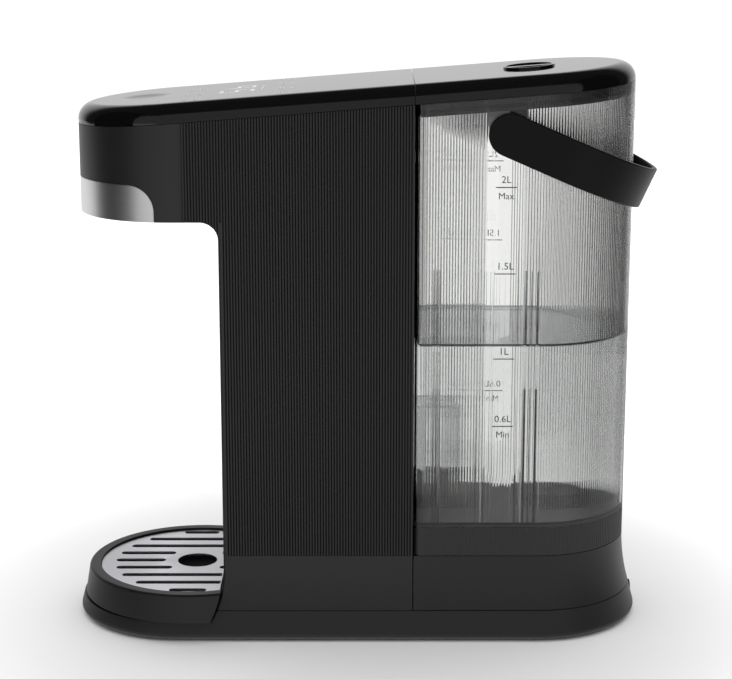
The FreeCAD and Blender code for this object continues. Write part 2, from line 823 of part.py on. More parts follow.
# Tank cradle: flared rear body with the deck under the tank
deck_thickness = 2.5
neck_gap = 0.4
cradle = capsule_sweep(flare_section(seam_z, 0), base_front_x, tank_center_x)
cradle = cradle.common(box(tank_x_front, far, -far, far, 0, far))
cavity_z1 = flute_foot_z - deck_thickness
hollow = capsule_sweep(flare_section(seam_z - cut_over, wall), base_front_x, tank_center_x)
hollow = hollow.common(box(0, far, -far, far, 0, cavity_z1))
cradle = cradle.cut(hollow)
posts = [cyl(boss_r, x, y, base_floor_top + boss_gap, cavity_z1 + cut_over) for x, y in cradle_spots]
cradle = fused([cradle] + posts)
for x, y in cradle_spots:
    cradle = cradle.cut(cyl(screw_r, x, y, 0, base_floor_top + boss_bore))
cradle = cradle.cut(cyl(socket_r + neck_gap, valve_x, 0, cavity_z1 - cut_over, far))
save("tank_cradle", cradle)

# Socket under the tank's valve, with its seal and the pin that opens the valve
flange_thickness = 2.4
channel_r = 2.5
bore_fit = 0.4
socket_bore_r = valve_tube_r + bore_fit
socket_floor = 4.0
socket_top_gap = 0.5
block_r = 7.0
block_foot_z = pump_axis_z - barb_r - 2.0
socket = fused([cyl(socket_r, valve_x, 0, socket_floor_z - socket_floor, flute_foot_z - socket_top_gap),
                cyl(socket_flange_r, valve_x, 0, cavity_z1 - flange_thickness, cavity_z1),
                cyl(block_r, valve_x, 0, block_foot_z, socket_floor_z - socket_floor / 2),
                cyl_x(barb_r, valve_x - block_r - barb_step - barb_length, valve_x, 0, pump_axis_z)])
socket = socket.cut(cyl(socket_bore_r, valve_x, 0, socket_floor_z, far))
socket = socket.cut(cyl(channel_r, valve_x, 0, pump_axis_z, socket_floor_z + cut_over))
socket = socket.cut(cyl_x(barb_bore_r, valve_x - far, valve_x, 0, pump_axis_z))
seal_height = 3.0
seal_depth = 2.0
seal_fit = 0.05
seal_low = socket_floor_z + socket_floor
seal_high = seal_low + seal_height
seal_r = socket_bore_r + seal_depth
socket = socket.cut(cyl(seal_r + seal_fit, valve_x, 0, seal_low - seal_fit, seal_high + seal_fit))
save("inlet_socket", socket)
save("inlet_seal", tube(seal_r, valve_tube_r + bore_fit / 2, valve_x, 0, seal_low, seal_high))
stem_rise = 1.3
stem_gap = 0.3
stem_foot_z = valve_foot_z + stem_rise
leg_reach = socket_bore_r - 0.1
leg_half = 1.2
leg_height = 2.5
pin_legs = box(valve_x - leg_reach, valve_x + leg_reach, -leg_half, leg_half,
               socket_floor_z, socket_floor_z + leg_height)
save("inlet_pin", fused([pin_legs, cyl(pin_r, valve_x, 0, socket_floor_z, stem_foot_z - stem_gap)]))


# Tank
def tank_front(inset):
    """Edges of the tank's flat front with its two corners, from the far side to the near side."""
    w = body_half_width - inset
    x0 = tank_x_front + inset
    r = max(tank_corner_r - inset, 0.8)
    stops = [V(x0 + r, w, 0), V(x0, w - r, 0), V(x0, -w + r, 0), V(x0 + r, -w, 0)]
    return stops, [corner(stops[0], stops[1], x0 + r, w - r), line(stops[1], stops[2]),
                   corner(stops[2], stops[3], x0 + r, -w + r)]


def smooth_tank(inset, z0, z1):
    """Upright body with the tank's plan, drawn in by an inset, flat in front and round behind."""
    w = body_half_width - inset
    xc = tank_center_x
    stops, front = tank_front(inset)
    edges = [line(stops[3], V(xc, -w, 0)), arc(V(xc, -w, 0), V(xc + w, 0, 0), V(xc, w, 0)),
             line(V(xc, w, 0), stops[0])]
    return raised(edges + front, z0, z1)


def fluted_tank(z0, z1, plain=None):
    """Fluted plan of the tank, smooth at its front and over the plain stretch of each side."""
    stops, front = tank_front(0)
    near = side_flutes(stops[3].x, tank_center_x, plain)
    points = near + fluted_arc(tank_center_x, 0, body_half_width, -90, 90) + mirrored(near)
    return raised(chain(points) + front, z0, z1)


strip = (window_x - window_half, window_x + window_half)
strip_turn_z = window_foot_z + window_half
inner_face = body_half_width - tank_wall
strip_ends = [cyl_y(window_half, window_x, side * body_half_width, side * inner_face, strip_turn_z)
              for side in (-1, 1)]
tank = fused([fluted_tank(tank_floor_z, strip_turn_z),
              fluted_tank(strip_turn_z, far * 0.8, strip)] + strip_ends)
floor_top = tank_floor_z + tank_floor
tank = tank.common(top_limit).cut(smooth_tank(tank_wall, floor_top, far))
boss_face = inner_face - pivot_boss_height
bosses = [cyl_y(pivot_boss_r, pivot_x, side * boss_face, side * (inner_face + cut_over), pivot_z)
          for side in (-1, 1)]
tank = fused([tank] + bosses)
arm_inner = body_half_width + handle_side_gap
pin_end = arm_inner - pivot_pin_length
pin_end_gap = 0.3
bore_end = pin_end - pin_end_gap
for side in (-1, 1):
    tank = tank.cut(cyl_y(pivot_pin_r + running_gap, pivot_x, side * bore_end, side * far, pivot_z))
tank = tank.cut(cyl(valve_tube_r + nut_gap, valve_x, 0, 0, floor_top + cut_over))
save("tank_body", tank)

ring = fluted_tank(flute_foot_z + deck_gap, tank_floor_z)
save("tank_base_ring", ring.cut(smooth_tank(tank_wall, 0, far)))

# Tank valve: body through the floor, nut, poppet with seal, spring and strainer
flange = 2.5
guide_plate = 1.5
valve_bore_r = valve_tube_r - valve_wall
seat_bore_r = 3.6
seat = 2.0
port_r = 1.3
port_ring_r = 4.4
port_count = 4
guide_z = floor_top + flange
valve = fused([cyl(valve_tube_r, valve_x, 0, valve_foot_z, guide_z),
               cyl(valve_flange_r, valve_x, 0, floor_top, guide_z)])
valve = valve.cut(cyl(valve_bore_r, valve_x, 0, valve_foot_z - cut_over, valve_seat_z - seat))
valve = valve.cut(cyl(seat_bore_r, valve_x, 0, valve_foot_z, valve_seat_z + cut_over))
valve = valve.cut(cyl(valve_bore_r, valve_x, 0, valve_seat_z, guide_z - guide_plate))
valve = valve.cut(cyl(poppet_stem_r + running_gap, valve_x, 0, valve_seat_z, far))
for i in range(port_count):
    a = 2 * math.pi * (i + 0.5) / port_count
    port_x = valve_x + port_ring_r * math.cos(a)
    valve = valve.cut(cyl(port_r, port_x, port_ring_r * math.sin(a), guide_z - guide_plate - cut_over, far))
save("valve_body", valve)
nut_height = 4.0
nut_r = valve_flange_r - 1.0
nut_foot_z = tank_floor_z - nut_height
save("valve_nut", tube(nut_r, valve_tube_r + running_gap, valve_x, 0, nut_foot_z, tank_floor_z))
disc = 2.0
disc_seal = 1.5
disc_z = valve_seat_z + valve_travel + disc_seal
stem_top_z = guide_z + 3.0
save("valve_poppet", fused([cyl(poppet_stem_r, valve_x, 0, stem_foot_z, stem_top_z),
                            cyl(poppet_disc_r, valve_x, 0, disc_z, disc_z + disc)]))
save("valve_seal", tube(poppet_disc_r, poppet_stem_r + running_gap, valve_x, 0, disc_z - disc_seal, disc_z))
spring_r = 4.2
spring_wire = 0.8
spring_top_z = guide_z - guide_plate
save("valve_spring", tube(spring_r, spring_r - spring_wire, valve_x, 0, disc_z + disc, spring_top_z))
strainer_wall = 1.5
strainer_slots = 16
strainer_slot_half = 1.2
strainer_top = floor_top + strainer_height
strainer = cyl(strainer_r, valve_x, 0, floor_top, strainer_top)
strainer = strainer.cut(cyl(strainer_r - strainer_wall, valve_x, 0, 0, strainer_top - strainer_wall))
slot = box(strainer_r - 2 * strainer_wall, strainer_r + strainer_wall,
           -strainer_slot_half, strainer_slot_half,
           floor_top + strainer_slot_half, strainer_top - strainer_wall - 0.5)
slots = []
for i in range(strainer_slots):
    turned = slot.rotated(V(0, 0, 0), V(0, 0, 1), 360 / strainer_slots * (i + 0.5))
    slots.append(turned.translated(V(valve_x, 0, 0)))
strainer = strainer.cut(Part.makeCompound(slots))
save("tank_strainer", strainer)

# Float, its magnet and the cage that guides it
half = float_cage_size / 2
inner = half - float_cage_wall
cage_top = floor_top + float_cage_height
cage_windows = 2
cage_window = 20.0
cage_window_half = 6.0
cage_bar = (float_cage_height - cage_windows * cage_window) / (cage_windows + 1)
cage_hole_r = 8.0
cage = box(float_x - half, float_x + half, -half, half, floor_top, cage_top)
cage = cage.cut(box(float_x - inner, float_x + inner, -inner, inner, 0, cage_top - float_cage_wall))
cage = cage.cut(cyl(cage_hole_r, float_x, 0, floor_top, far))
for i in range(cage_windows):
    z = floor_top + cage_bar + i * (cage_window + cage_bar)
    across = cage_window_half
    cage = cage.cut(box(float_x - far, float_x + far, -across, across, z, z + cage_window))
    cage = cage.cut(box(float_x - across, float_x + across, -far, far, z, z + cage_window))
save("float_cage", cage)
float_foot_gap = 0.3
float_z = floor_top + float_foot_gap
magnet_r = 4.0
magnet_height = 3.0
float_body = cyl(float_r, float_x, 0, float_z, float_z + float_height)
magnet_z = float_z + float_height - magnet_height
float_body = float_body.cut(cyl(magnet_r + running_gap, float_x, 0, magnet_z, far))
save("float", float_body)
save("float_magnet", cyl(magnet_r, float_x, 0, magnet_z, magnet_z + magnet_height))
sensor_depth = 4.0
sensor_half = 8.0
sensor_foot = 6.0
sensor_length = 38.0
sensor_z = float_z + sensor_foot
save("level_sensor", box(rear_wall_x - sensor_depth, rear_wall_x, -sensor_half, sensor_half,
                         sensor_z, sensor_z + sensor_length))

# Lid: cap with a drop-in finger grip, an inner skirt and its seal
lid = rounded_slab(0, tank_x_front, far, tank_x_front, cap_low, cap_top_z)
lid_inner_x = tank_x_front + cap_wall
lid_room = rounded_slab(cap_wall, lid_inner_x, far, lid_inner_x, cap_edge_z - 2 * skirt_drop, room_top)
lid = lid.cut(lid_room)
knob_fit = 0.1
knob_floor = 1.5
knob_bar_drop = 0.4
lid = lid.cut(on_slope(cyl(knob_r + knob_fit, 0, 0, -knob_r, knob_r), knob_x))
save("tank_lid", lid)
knob = cyl(knob_r, 0, 0, -knob_depth, knob_rise)
knob = knob.cut(cyl(knob_r - knob_wall, 0, 0, -knob_depth + knob_floor, knob_rise + cut_over))
bar_reach = knob_r - knob_wall / 2
bar = box(-bar_reach, bar_reach, -knob_bar / 2, knob_bar / 2, -knob_depth, knob_rise - knob_bar_drop)
save("lid_knob", on_slope(fused([knob, bar]), knob_x))


def skirt_ring(outer, inner, low, high):
    """Ring that follows the tank's inner plan between two sloping planes."""
    ring = smooth_tank(outer, flute_foot_z, far).cut(smooth_tank(inner, 0, far))
    return ring.common(slope_slab(low, high, 0, far, far))


skirt_out = tank_wall + skirt_gap
skirt_low = cap_edge_z - skirt_drop
skirt = skirt_ring(skirt_out, skirt_out + skirt_wall, skirt_low, cap_top_z).common(lid_room)
groove = 0.8
band_low = skirt_low + 1.6
band_high = skirt_low + 4.0
skirt = skirt.cut(skirt_ring(skirt_out - cut_over, skirt_out + groove, band_low, band_high))
save("lid_skirt", skirt)
lid_seal_gap = 0.25
save("lid_seal", skirt_ring(tank_wall + lid_seal_gap, skirt_out + groove - seal_fit,
                            band_low + seal_fit, band_high - seal_fit))

# Handle: flat strap bent round the back of the tank, with a pivot pin inside each arm
arm_outer = arm_inner + handle_thickness
hw = handle_width / 2
rest_angle = math.radians(handle_rest_angle)
rear_clear_x = tank_center_x + body_half_width + handle_back_gap - pivot_x
handle_reach = (rear_clear_x + hw * math.sin(rest_angle)) / math.cos(rest_angle)
bend_u = handle_reach - arm_inner
strap = fused([box(0, bend_u, -arm_outer, arm_outer, -hw, hw), cyl(arm_outer, bend_u, 0, -hw, hw),
               cyl_y(hw, 0, -arm_outer, arm_outer, 0)])
strap = strap.cut(cyl(arm_inner, bend_u, 0, -far, far))
strap = strap.cut(box(-far, bend_u, -arm_inner, arm_inner, -far, far))
pins = [cyl_y(pivot_pin_r, 0, side * pin_end, side * (arm_inner + cut_over), 0) for side in (-1, 1)]
strap = fused([strap] + pins)
strap = strap.rotated(V(0, 0, 0), V(0, 1, 0), handle_rest_angle).translated(V(pivot_x, 0, pivot_z))
save("tank_handle", strap)

# Drip tray and slotted grille
tray = Part.makeCone(tray_foot_r, tray_top_r, tray_rim_z - tray_skirt_z, V(tray_center_x, 0, tray_skirt_z))
rim = [e for e in tray.Edges if e.Vertexes[0].Z > tray_rim_z - 0.01 and len(e.Vertexes) == 1]
tray = tray.makeFillet(tray_round_r, rim)
tray = fused([tray, cyl(tray_seat_r, tray_center_x, 0, tongue_top_z, tray_skirt_z + tray_wall / 2)])
tray = tray.cut(behind_sweep(tongue_top_z - cut_over, tray_rim_z + cut_over, -tray_gap))
ledge_z = grille_top_z - grille_thickness
bowl = cyl(grille_r - grille_ledge, tray_center_x, 0, tray_skirt_z + tray_floor, tray_rim_z + cut_over)
bowl = bowl.cut(behind_sweep(tongue_top_z, tray_rim_z + 2 * cut_over, -tray_gap - tray_wall))
tray = tray.cut(bowl).cut(cyl(grille_r + grille_gap, tray_center_x, 0, ledge_z, far))
save("drip_tray", tray)

grille_edge_x = sweep_x(grille_top_z, -grille_back_gap)
grille = cyl(grille_r, tray_center_x, 0, ledge_z, grille_top_z)
grille = grille.cut(box(grille_edge_x, far, -far, far, 0, far))
slot_end_x = grille_edge_x - slot_edge_margin


def grille_slot(x0, x1, y):
    """Slot with a round front end, square where it is cut short at the straight edge."""
    r = slot_width / 2
    slot = cyl(r, x0 + r, y, 0, far).fuse(box(x0 + r, min(x1 - r, slot_end_x), y - r, y + r, 0, far))
    return slot if x1 > slot_end_x else slot.fuse(cyl(r, x1 - r, y, 0, far))


hub_x = tray_center_x + hub_shift
slots_x = tray_center_x + slot_shift
cuts = [cyl(drain_hole_r, hub_x, 0, 0, far)]
for i in range(slot_count):
    y = (i - (slot_count - 1) / 2) * slot_pitch
    reach = math.sqrt(slot_reach_r ** 2 - y ** 2) - slot_margin
    if abs(y) < hub_r:
        clear = math.sqrt(hub_r ** 2 - y ** 2)
        cuts.append(grille_slot(slots_x - reach, hub_x - clear, y))
        if hub_x + clear + slot_width / 2 < slot_end_x:
            cuts.append(grille_slot(hub_x + clear, slots_x + reach, y))
    else:
        cuts.append(grille_slot(slots_x - reach, slots_x + reach, y))
save("drip_grille", grille.cut(Part.makeCompound(cuts)))

# Pump: motor, volute and impeller, lying on two saddles under the tank
chamber_clear = 1.0
volute_wall = 3.0
shaft_depth = 19.5
pump_end_x = pump_x + pump_length
pump_mid_x = pump_x + pump_length / 2
room_x0 = pump_x + volute_wall
room_x1 = pump_end_x - volute_wall
volute = fused([cyl_x(pump_r, pump_x, pump_end_x, 0, pump_axis_z),
                cyl_x(barb_r, pump_end_x, pump_end_x + barb_step + barb_length, 0, pump_axis_z),
                cyl_y(barb_r, pump_mid_x, -pump_r - barb_length, 0, pump_axis_z)])
volute = volute.cut(cyl_x(impeller_r + chamber_clear, room_x0, room_x1, 0, pump_axis_z))
volute = volute.cut(cyl_x(barb_bore_r, room_x1 - cut_over, far, 0, pump_axis_z))
volute = volute.cut(cyl_y(barb_bore_r, pump_mid_x, -far, -impeller_r + cut_over, pump_axis_z))
volute = volute.cut(cyl_x(shaft_r + chamber_clear / 3, pump_x - cut_over, room_x0 + cut_over, 0, pump_axis_z))
save("pump_body", volute)
motor = cyl_x(motor_r, pump_x - motor_length, pump_x, 0, pump_axis_z)
motor = motor.cut(cyl_x(shaft_r + running_gap, pump_x - shaft_depth - 0.5, pump_x + cut_over, 0, pump_axis_z))
save("pump_motor", motor)
impeller_gap = 0.6
impeller_plate = 2.0
impeller_hub_r = shaft_r + 1.5
blade_count = 6
blade_half = 0.7
plate_x0 = room_x0 + impeller_gap
hub_end_x = room_x0 + 8.0
blade_end_x = hub_end_x - chamber_clear
impeller = [cyl_x(impeller_r, plate_x0, plate_x0 + impeller_plate, 0, pump_axis_z),
            cyl_x(shaft_r, pump_x - shaft_depth, hub_end_x, 0, pump_axis_z),
            cyl_x(impeller_hub_r, plate_x0, hub_end_x, 0, pump_axis_z)]
for i in range(blade_count):
    blade = box(plate_x0 + impeller_plate / 2, blade_end_x, 0, impeller_r - blade_half,
                -blade_half, blade_half)
    blade = blade.rotated(V(0, 0, 0), V(1, 0, 0), 360 / blade_count * i).translated(V(0, 0, pump_axis_z))
    impeller.append(blade)
save("pump_impeller", fused(impeller))
saddle_width = 6.0
saddle_half = 10.0
saddle_fit = 0.05
saddle_reach = 5.0
saddles = []
for x in (pump_x - motor_length + 7.0, pump_x - 11.0):
    saddle = box(x, x + saddle_width, -saddle_half, saddle_half, base_floor_top, pump_axis_z - saddle_reach)
    cradle_cut = cyl_x(motor_r + saddle_fit, x - cut_over, x + saddle_width + cut_over, 0, pump_axis_z)
    saddles.append(saddle.cut(cradle_cut))
save("pump_mounts", saddles)

# Flow meter with its turbine
m0 = meter_x - meter_length / 2
m1 = meter_x + meter_length / 2
meter_barb = barb_step + barb_length
meter_foot_x = 7.0
meter_foot_y = 8.0
meter_foot_top = 7.0
bearing_wall = 2.5
bearing_r = 1.05
bearing_depth = 1.0
turbine_room = 5.0
turbine_r = 7.5
turbine_clear = 0.8
port_ring = 3.4
meter_port_r = 1.1
meter_ports = 3
end_room_r = 4.7
end_wall = 1.5
meter = fused([cyl_x(meter_r, m0, m1, meter_y, pump_axis_z),
               cyl_x(barb_r, m0 - meter_barb, m1 + meter_barb, meter_y, pump_axis_z),
               box(meter_x - meter_foot_x, meter_x + meter_foot_x,
                   meter_y - meter_foot_y, meter_y + meter_foot_y,
                   base_floor_top, pump_axis_z - meter_foot_top)])
meter = meter.cut(cyl_x(turbine_r + turbine_clear, meter_x - turbine_room, meter_x + turbine_room,
                        meter_y, pump_axis_z))
meter = meter.cut(cyl_x(bearing_r, m0 + bearing_depth, m1 - bearing_depth, meter_y, pump_axis_z))
for side in (-1, 1):
    wall_x = meter_x + side * turbine_room
    inner_x = wall_x + side * bearing_wall
    outer_x = meter_x + side * (meter_length / 2 - end_wall)
    meter = meter.cut(cyl_x(end_room_r, inner_x, outer_x, meter_y, pump_axis_z))
    meter = meter.cut(cyl_x(barb_bore_r, outer_x, meter_x + side * far, meter_y, pump_axis_z))
    for i in range(meter_ports):
        a = 2 * math.pi * i / meter_ports
        hole_y = meter_y + port_ring * math.cos(a)
        hole_z = pump_axis_z + port_ring * math.sin(a)
        meter = meter.cut(cyl_x(meter_port_r, wall_x - side * cut_over / 2, inner_x + side * cut_over / 2,
                                hole_y, hole_z))
save("flow_meter", meter)
axle_r = bearing_r - running_gap
axle_reach = turbine_room + 2.0
turbine_hub_r = 2.6
vane_half_length = 4.0
vane_half = 0.6
vane_count = 4
turbine = [cyl_x(axle_r, meter_x - axle_reach, meter_x + axle_reach, meter_y, pump_axis_z),
           cyl_x(turbine_hub_r, meter_x - vane_half_length, meter_x + vane_half_length, meter_y, pump_axis_z)]
for i in range(vane_count):
    vane = box(-vane_half_length, vane_half_length, 0, turbine_r, -vane_half, vane_half)
    vane = vane.rotated(V(0, 0, 0), V(1, 0, 0), 360 / vane_count * i)
    turbine.append(vane.translated(V(meter_x, meter_y, pump_axis_z)))
save("flow_turbine", fused(turbine))

# Inner frame, heater and what is clamped to it
foot_depth = 16.0
foot_plate = 2.5
foot_half = 22.0
frame_low_z = flute_foot_z - 2.1
standoff_r = 3.0
standoff_y = 32.0
standoff_margin = 8.0
frame_x1 = frame_x + frame_thickness
frame = fused([box(frame_x, frame_x1, -frame_half_width, frame_half_width, frame_low_z, frame_top_z),
               box(frame_x, frame_x1, -foot_half, foot_half, base_floor_top, frame_low_z + cut_over),
               box(frame_x, frame_x + foot_depth, -foot_half, foot_half, base_floor_top,
                   base_floor_top + foot_plate)])
standoff_rows = (power_board_z + standoff_margin, power_board_z + power_board_height - standoff_margin)
for z in standoff_rows:
    for side in (-1, 1):
        y = side * standoff_y
        frame = frame.fuse(cyl_x(standoff_r, frame_x + frame_thickness / 2, power_board_x, y, z))
for x, y in frame_spots:
    frame = frame.cut(cyl(screw_r, x, y, 0, base_floor_top + foot_plate + cut_over))
save("inner_frame", frame.removeSplitter())

heater_top = heater_foot_z + heater_length
save("heater_tube", tube(heater_r, heater_r - heater_wall, heater_x, 0, heater_foot_z, heater_top))
cap_plate = 6.0
cap_rim = 1.5
cap_fit = 0.05
spigot_length = 6.0
end_caps = []
for z, side in ((heater_foot_z, -1), (heater_top, 1)):
    plate_end = z + side * cap_plate
    spigot_end = z - side * spigot_length
    end_cap = fused([cyl(heater_r + cap_rim, heater_x, 0, z, plate_end),
                     cyl(heater_r - heater_wall - cap_fit, heater_x, 0, z, spigot_end),
                     cyl(barb_r, heater_x, 0, plate_end, plate_end + side * barb_length)])
    bore_end = plate_end + side * (barb_length + cut_over)
    end_caps.append(end_cap.cut(cyl(barb_bore_r, heater_x, 0, spigot_end - side * cut_over, bore_end)))
save("heater_caps", end_caps)
clamp_margin = 24.0
clamp_height = 10.0
clamp_wall = 2.5
clamp_half = 9.0
clamp_fit = 0.05
clamps = []
for z in (heater_foot_z + clamp_margin, heater_top - clamp_margin - clamp_height):
    clamp = fused([cyl(heater_r + clamp_wall, heater_x, 0, z, z + clamp_height),
                   box(heater_x + heater_r, frame_x, -clamp_half, clamp_half, z, z + clamp_height)])
    clamps.append(clamp.cut(cyl(heater_r + clamp_fit, heater_x, 0, 0, far)))
save("heater_clamps", clamps)
stat_r = 8.0
stat_depth = 7.0
stat_gap = 0.2
stat_x = heater_x - heater_r - stat_gap
stat_heights = [heater_foot_z + share * heater_length for share in (0.4, 0.6)]
save("thermostats", [cyl_x(stat_r, stat_x - stat_depth, stat_x, 0, z) for z in stat_heights])
probe_r = 2.5
probe_length = 10.0
probe_x = heater_x + 0.6 * heater_r
probe_z = heater_top + cap_plate
save("temp_sensors", [cyl(probe_r, probe_x, 0, probe_z, probe_z + probe_length),
                      cyl(probe_r, chamber_x, 0, chamber_z1, chamber_z1 + probe_length)])

# Power board with its components and heat sink
board_face = power_board_x + board_thickness
save("power_board", box(power_board_x, board_face, -power_board_half, power_board_half,
                        power_board_z, power_board_z + power_board_height))


def board_y(share):
    """Place across the power board, as a share of its half width."""
    return share * power_board_half


def board_z(share):
    """Place up the power board, as a share of its height."""
    return power_board_z + share * power_board_height


def board_block(y0, y1, z0, z1, rise):
    return box(board_face, board_face + rise, board_y(y0), board_y(y1), board_z(z0), board_z(z1))


transformer = board_block(-0.84, -0.21, 0.13, 0.29, 17.0)
relay = board_block(-0.79, -0.37, 0.40, 0.53, 14.0)
terminals = board_block(-0.11, 0.63, 0.04, 0.12, 10.0)
large_capacitor = cyl_x(6.0, board_face, board_face + 16.0, board_y(0.11), board_z(0.23))
small_capacitor = cyl_x(4.0, board_face, board_face + 12.0, board_y(0.47), board_z(0.21))
buzzer = cyl_x(8.0, board_face, board_face + 9.0, board_y(-0.58), board_z(0.69))
save("power_parts", [transformer, relay, terminals, large_capacitor, small_capacitor, buzzer])
sink_low = 0.47
sink_high = 0.87
sink_y0 = board_y(0.11)
sink_y1 = board_y(0.89)
sink_plate = 3.0
sink_rise = 17.0
fin_count = 6
fin_thickness = 1.6
sink = box(board_face, board_face + sink_plate, sink_y0, sink_y1, board_z(sink_low), board_z(sink_high))
for i in range(fin_count):
    y = sink_y0 + i * (sink_y1 - sink_y0 - fin_thickness) / (fin_count - 1)
    sink = sink.fuse(box(board_face + sink_plate / 2, board_face + sink_rise, y, y + fin_thickness,
                         board_z(sink_low), board_z(sink_high)))
save("heat_sink", sink.removeSplitter())

# Hoses from the tank to the spout, and their clips
hose_in_r = barb_r + running_gap
runs = {
    "inlet_hose": [V(pump_end_x + barb_step, 0, pump_axis_z),
                   V(valve_x - block_r - barb_step, 0, pump_axis_z)],
    "pump_hose": [V(pump_mid_x, -pump_r, pump_axis_z), V(pump_mid_x, meter_y, pump_axis_z),
                  V(m1 + barb_step, meter_y, pump_axis_z)],
    "meter_hose": [V(m0 - barb_step, meter_y, pump_axis_z), V(heater_x, meter_y, pump_axis_z),
                   V(heater_x, 0, pump_axis_z), V(heater_x, 0, heater_foot_z - cap_plate)],
    "outlet_hose": [V(heater_x, 0, heater_top + cap_plate), V(heater_x, 0, inlet_z),
                    V(chamber_x + chamber_r + barb_step, 0, inlet_z)],
}
clip_margin = 2.5
clip_width = 4.0
clip_wall = 1.2
clip_fit = 0.05
clips = []
for name, points in runs.items():
    save(name, hose(points, hose_r, hose_in_r, hose_bend_r))
    for end, after in ((points[0], points[1]), (points[-1], points[-2])):
        d = (after - end).normalize()
        start = end + d * clip_margin
        clip = Part.makeCylinder(hose_r + clip_wall, clip_width, start, d)
        clips.append(clip.cut(Part.makeCylinder(hose_r + clip_fit, clip_width, start, d)))
save("hose_clips", clips)
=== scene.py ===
import math

import bmesh
import bpy
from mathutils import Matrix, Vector


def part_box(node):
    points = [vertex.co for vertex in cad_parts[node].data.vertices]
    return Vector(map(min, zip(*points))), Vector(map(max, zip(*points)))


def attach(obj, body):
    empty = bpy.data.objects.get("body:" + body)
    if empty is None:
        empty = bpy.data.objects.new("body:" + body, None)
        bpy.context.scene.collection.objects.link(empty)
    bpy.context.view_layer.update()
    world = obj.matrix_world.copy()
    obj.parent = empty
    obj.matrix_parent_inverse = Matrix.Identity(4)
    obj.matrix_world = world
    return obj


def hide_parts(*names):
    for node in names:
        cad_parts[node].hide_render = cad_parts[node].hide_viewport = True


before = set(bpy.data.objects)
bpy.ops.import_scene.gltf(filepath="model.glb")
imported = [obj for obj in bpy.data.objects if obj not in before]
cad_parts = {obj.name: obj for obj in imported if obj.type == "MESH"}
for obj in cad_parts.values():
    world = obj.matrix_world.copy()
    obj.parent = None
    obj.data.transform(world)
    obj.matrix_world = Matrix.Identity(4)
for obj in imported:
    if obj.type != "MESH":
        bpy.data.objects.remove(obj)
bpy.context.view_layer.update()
mm = 0.001


# Base housing: one black ABS moulding, with a flared foot and a low tongue that carries the drip tray.
# Screws enter it from below, and the mould leaves a fine even grain on it.
class Wire:
    """An output socket of a finish; each sum or product of wires adds its Math node."""

    def __init__(self, finish, socket):
        self.finish = finish
        self.socket = socket

    def math(self, operation, *values):
        sockets = dict(enumerate(values))
        return self.finish.node("ShaderNodeMath", {"operation": operation}, sockets)

    def __add__(self, other):
        return self.math("ADD", self, other)

    def __sub__(self, other):
        return self.math("SUBTRACT", self, other)

    def __rsub__(self, other):
        return self.math("SUBTRACT", other, self)

    def __mul__(self, other):
        return self.math("MULTIPLY", self, other)

    def __truediv__(self, other):
        return self.math("DIVIDE", self, other)

    def __gt__(self, other):
        return self.math("GREATER_THAN", self, other)

    def __lt__(self, other):
        return self.math("LESS_THAN", self, other)

    __radd__ = __add__
    __rmul__ = __mul__


class Plan:
    """A node tree that is written node by node."""

    def feed(self, target, value):
        if isinstance(value, Wire):
            self.tree.links.new(value.socket, target)
        else:
            target.default_value = value

    def node(self, kind, settings=None, sockets=None, output=None):
        """Add a node: its settings first, then values or wires for its sockets."""
        made = self.tree.nodes.new(kind)
        for key, value in (settings or {}).items():
            setattr(made, key, value)
        live = [s for s in made.inputs if s.enabled]
        for key, value in (sockets or {}).items():
            target = live[key] if isinstance(key, int) else next(s for s in live if s.name == key)
            self.feed(target, value)
        outs = [s for s in made.outputs if s.enabled]
        return Wire(self, next((s for s in outs if s.name == output), outs[0]))


class Finish(Plan):
    """A material on one Principled shader, its patterns laid on object coordinates."""

    def __init__(self, name, **constants):
        self.material = bpy.data.materials.new(name)
        self.material.use_nodes = True
        self.tree = self.material.node_tree
        self.tree.nodes.clear()
        out = self.tree.nodes.new("ShaderNodeOutputMaterial")
        self.shader = self.tree.nodes.new("ShaderNodeBsdfPrincipled")
        self.tree.links.new(self.shader.outputs[0], out.inputs[0])
        for key, value in constants.items():
            self.shader.inputs[key.replace("_", " ")].default_value = value

    def place(self, scale=(1.0, 1.0, 1.0)):
        spot = self.node("ShaderNodeTexCoord", output="Object")
        return self.node("ShaderNodeMapping", None, {"Vector": spot, "Scale": scale})

    def noise(self, scale, detail=2.0, stretch=(1.0, 1.0, 1.0), roughness=0.5):
        return self.node("ShaderNodeTexNoise", None, {"Vector": self.place(stretch), "Scale": scale,
                                                      "Detail": detail, "Roughness": roughness})

    def blend(self, factor, first, second):
        return self.node("ShaderNodeMix", {"data_type": "RGBA"}, {"Factor": factor, "A": first, "B": second})

    def set(self, **varying):
        for key, value in varying.items():
            self.feed(self.shader.inputs[key.replace("_", " ")], value)

    def bump(self, height, depth, strength=1.0):
        sockets = {"Height": height, "Distance": depth, "Strength": strength}
        self.set(Normal=self.node("ShaderNodeBump", None, sockets))


def tint(red, green=None, blue=None):
    """Linear colour of a screen colour given from 0 to 255."""
    screen = [c / 255 for c in (red, red if green is None else green, red if blue is None else blue)]
    linear = [c / 12.92 if c <= 0.04045 else ((c + 0.055) / 1.055) ** 2.4 for c in screen]
    return (*linear, 1.0)


def in_scene(name, data):
    """An object in the scene for a mesh, a curve, a lamp or the camera."""
    made = bpy.data.objects.new(name, data)
    bpy.context.scene.collection.objects.link(made)
    return made


def new_piece(name, mesh, finish, body, nodes=()):
    """Put a finished mesh in the scene as a piece of a body, in the place of its CAD nodes."""
    piece = in_scene(name, mesh)
    if finish:
        mesh.materials.clear()
        mesh.materials.append(finish.material)
    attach(piece, body)
    if nodes:
        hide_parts(*nodes)
    return piece


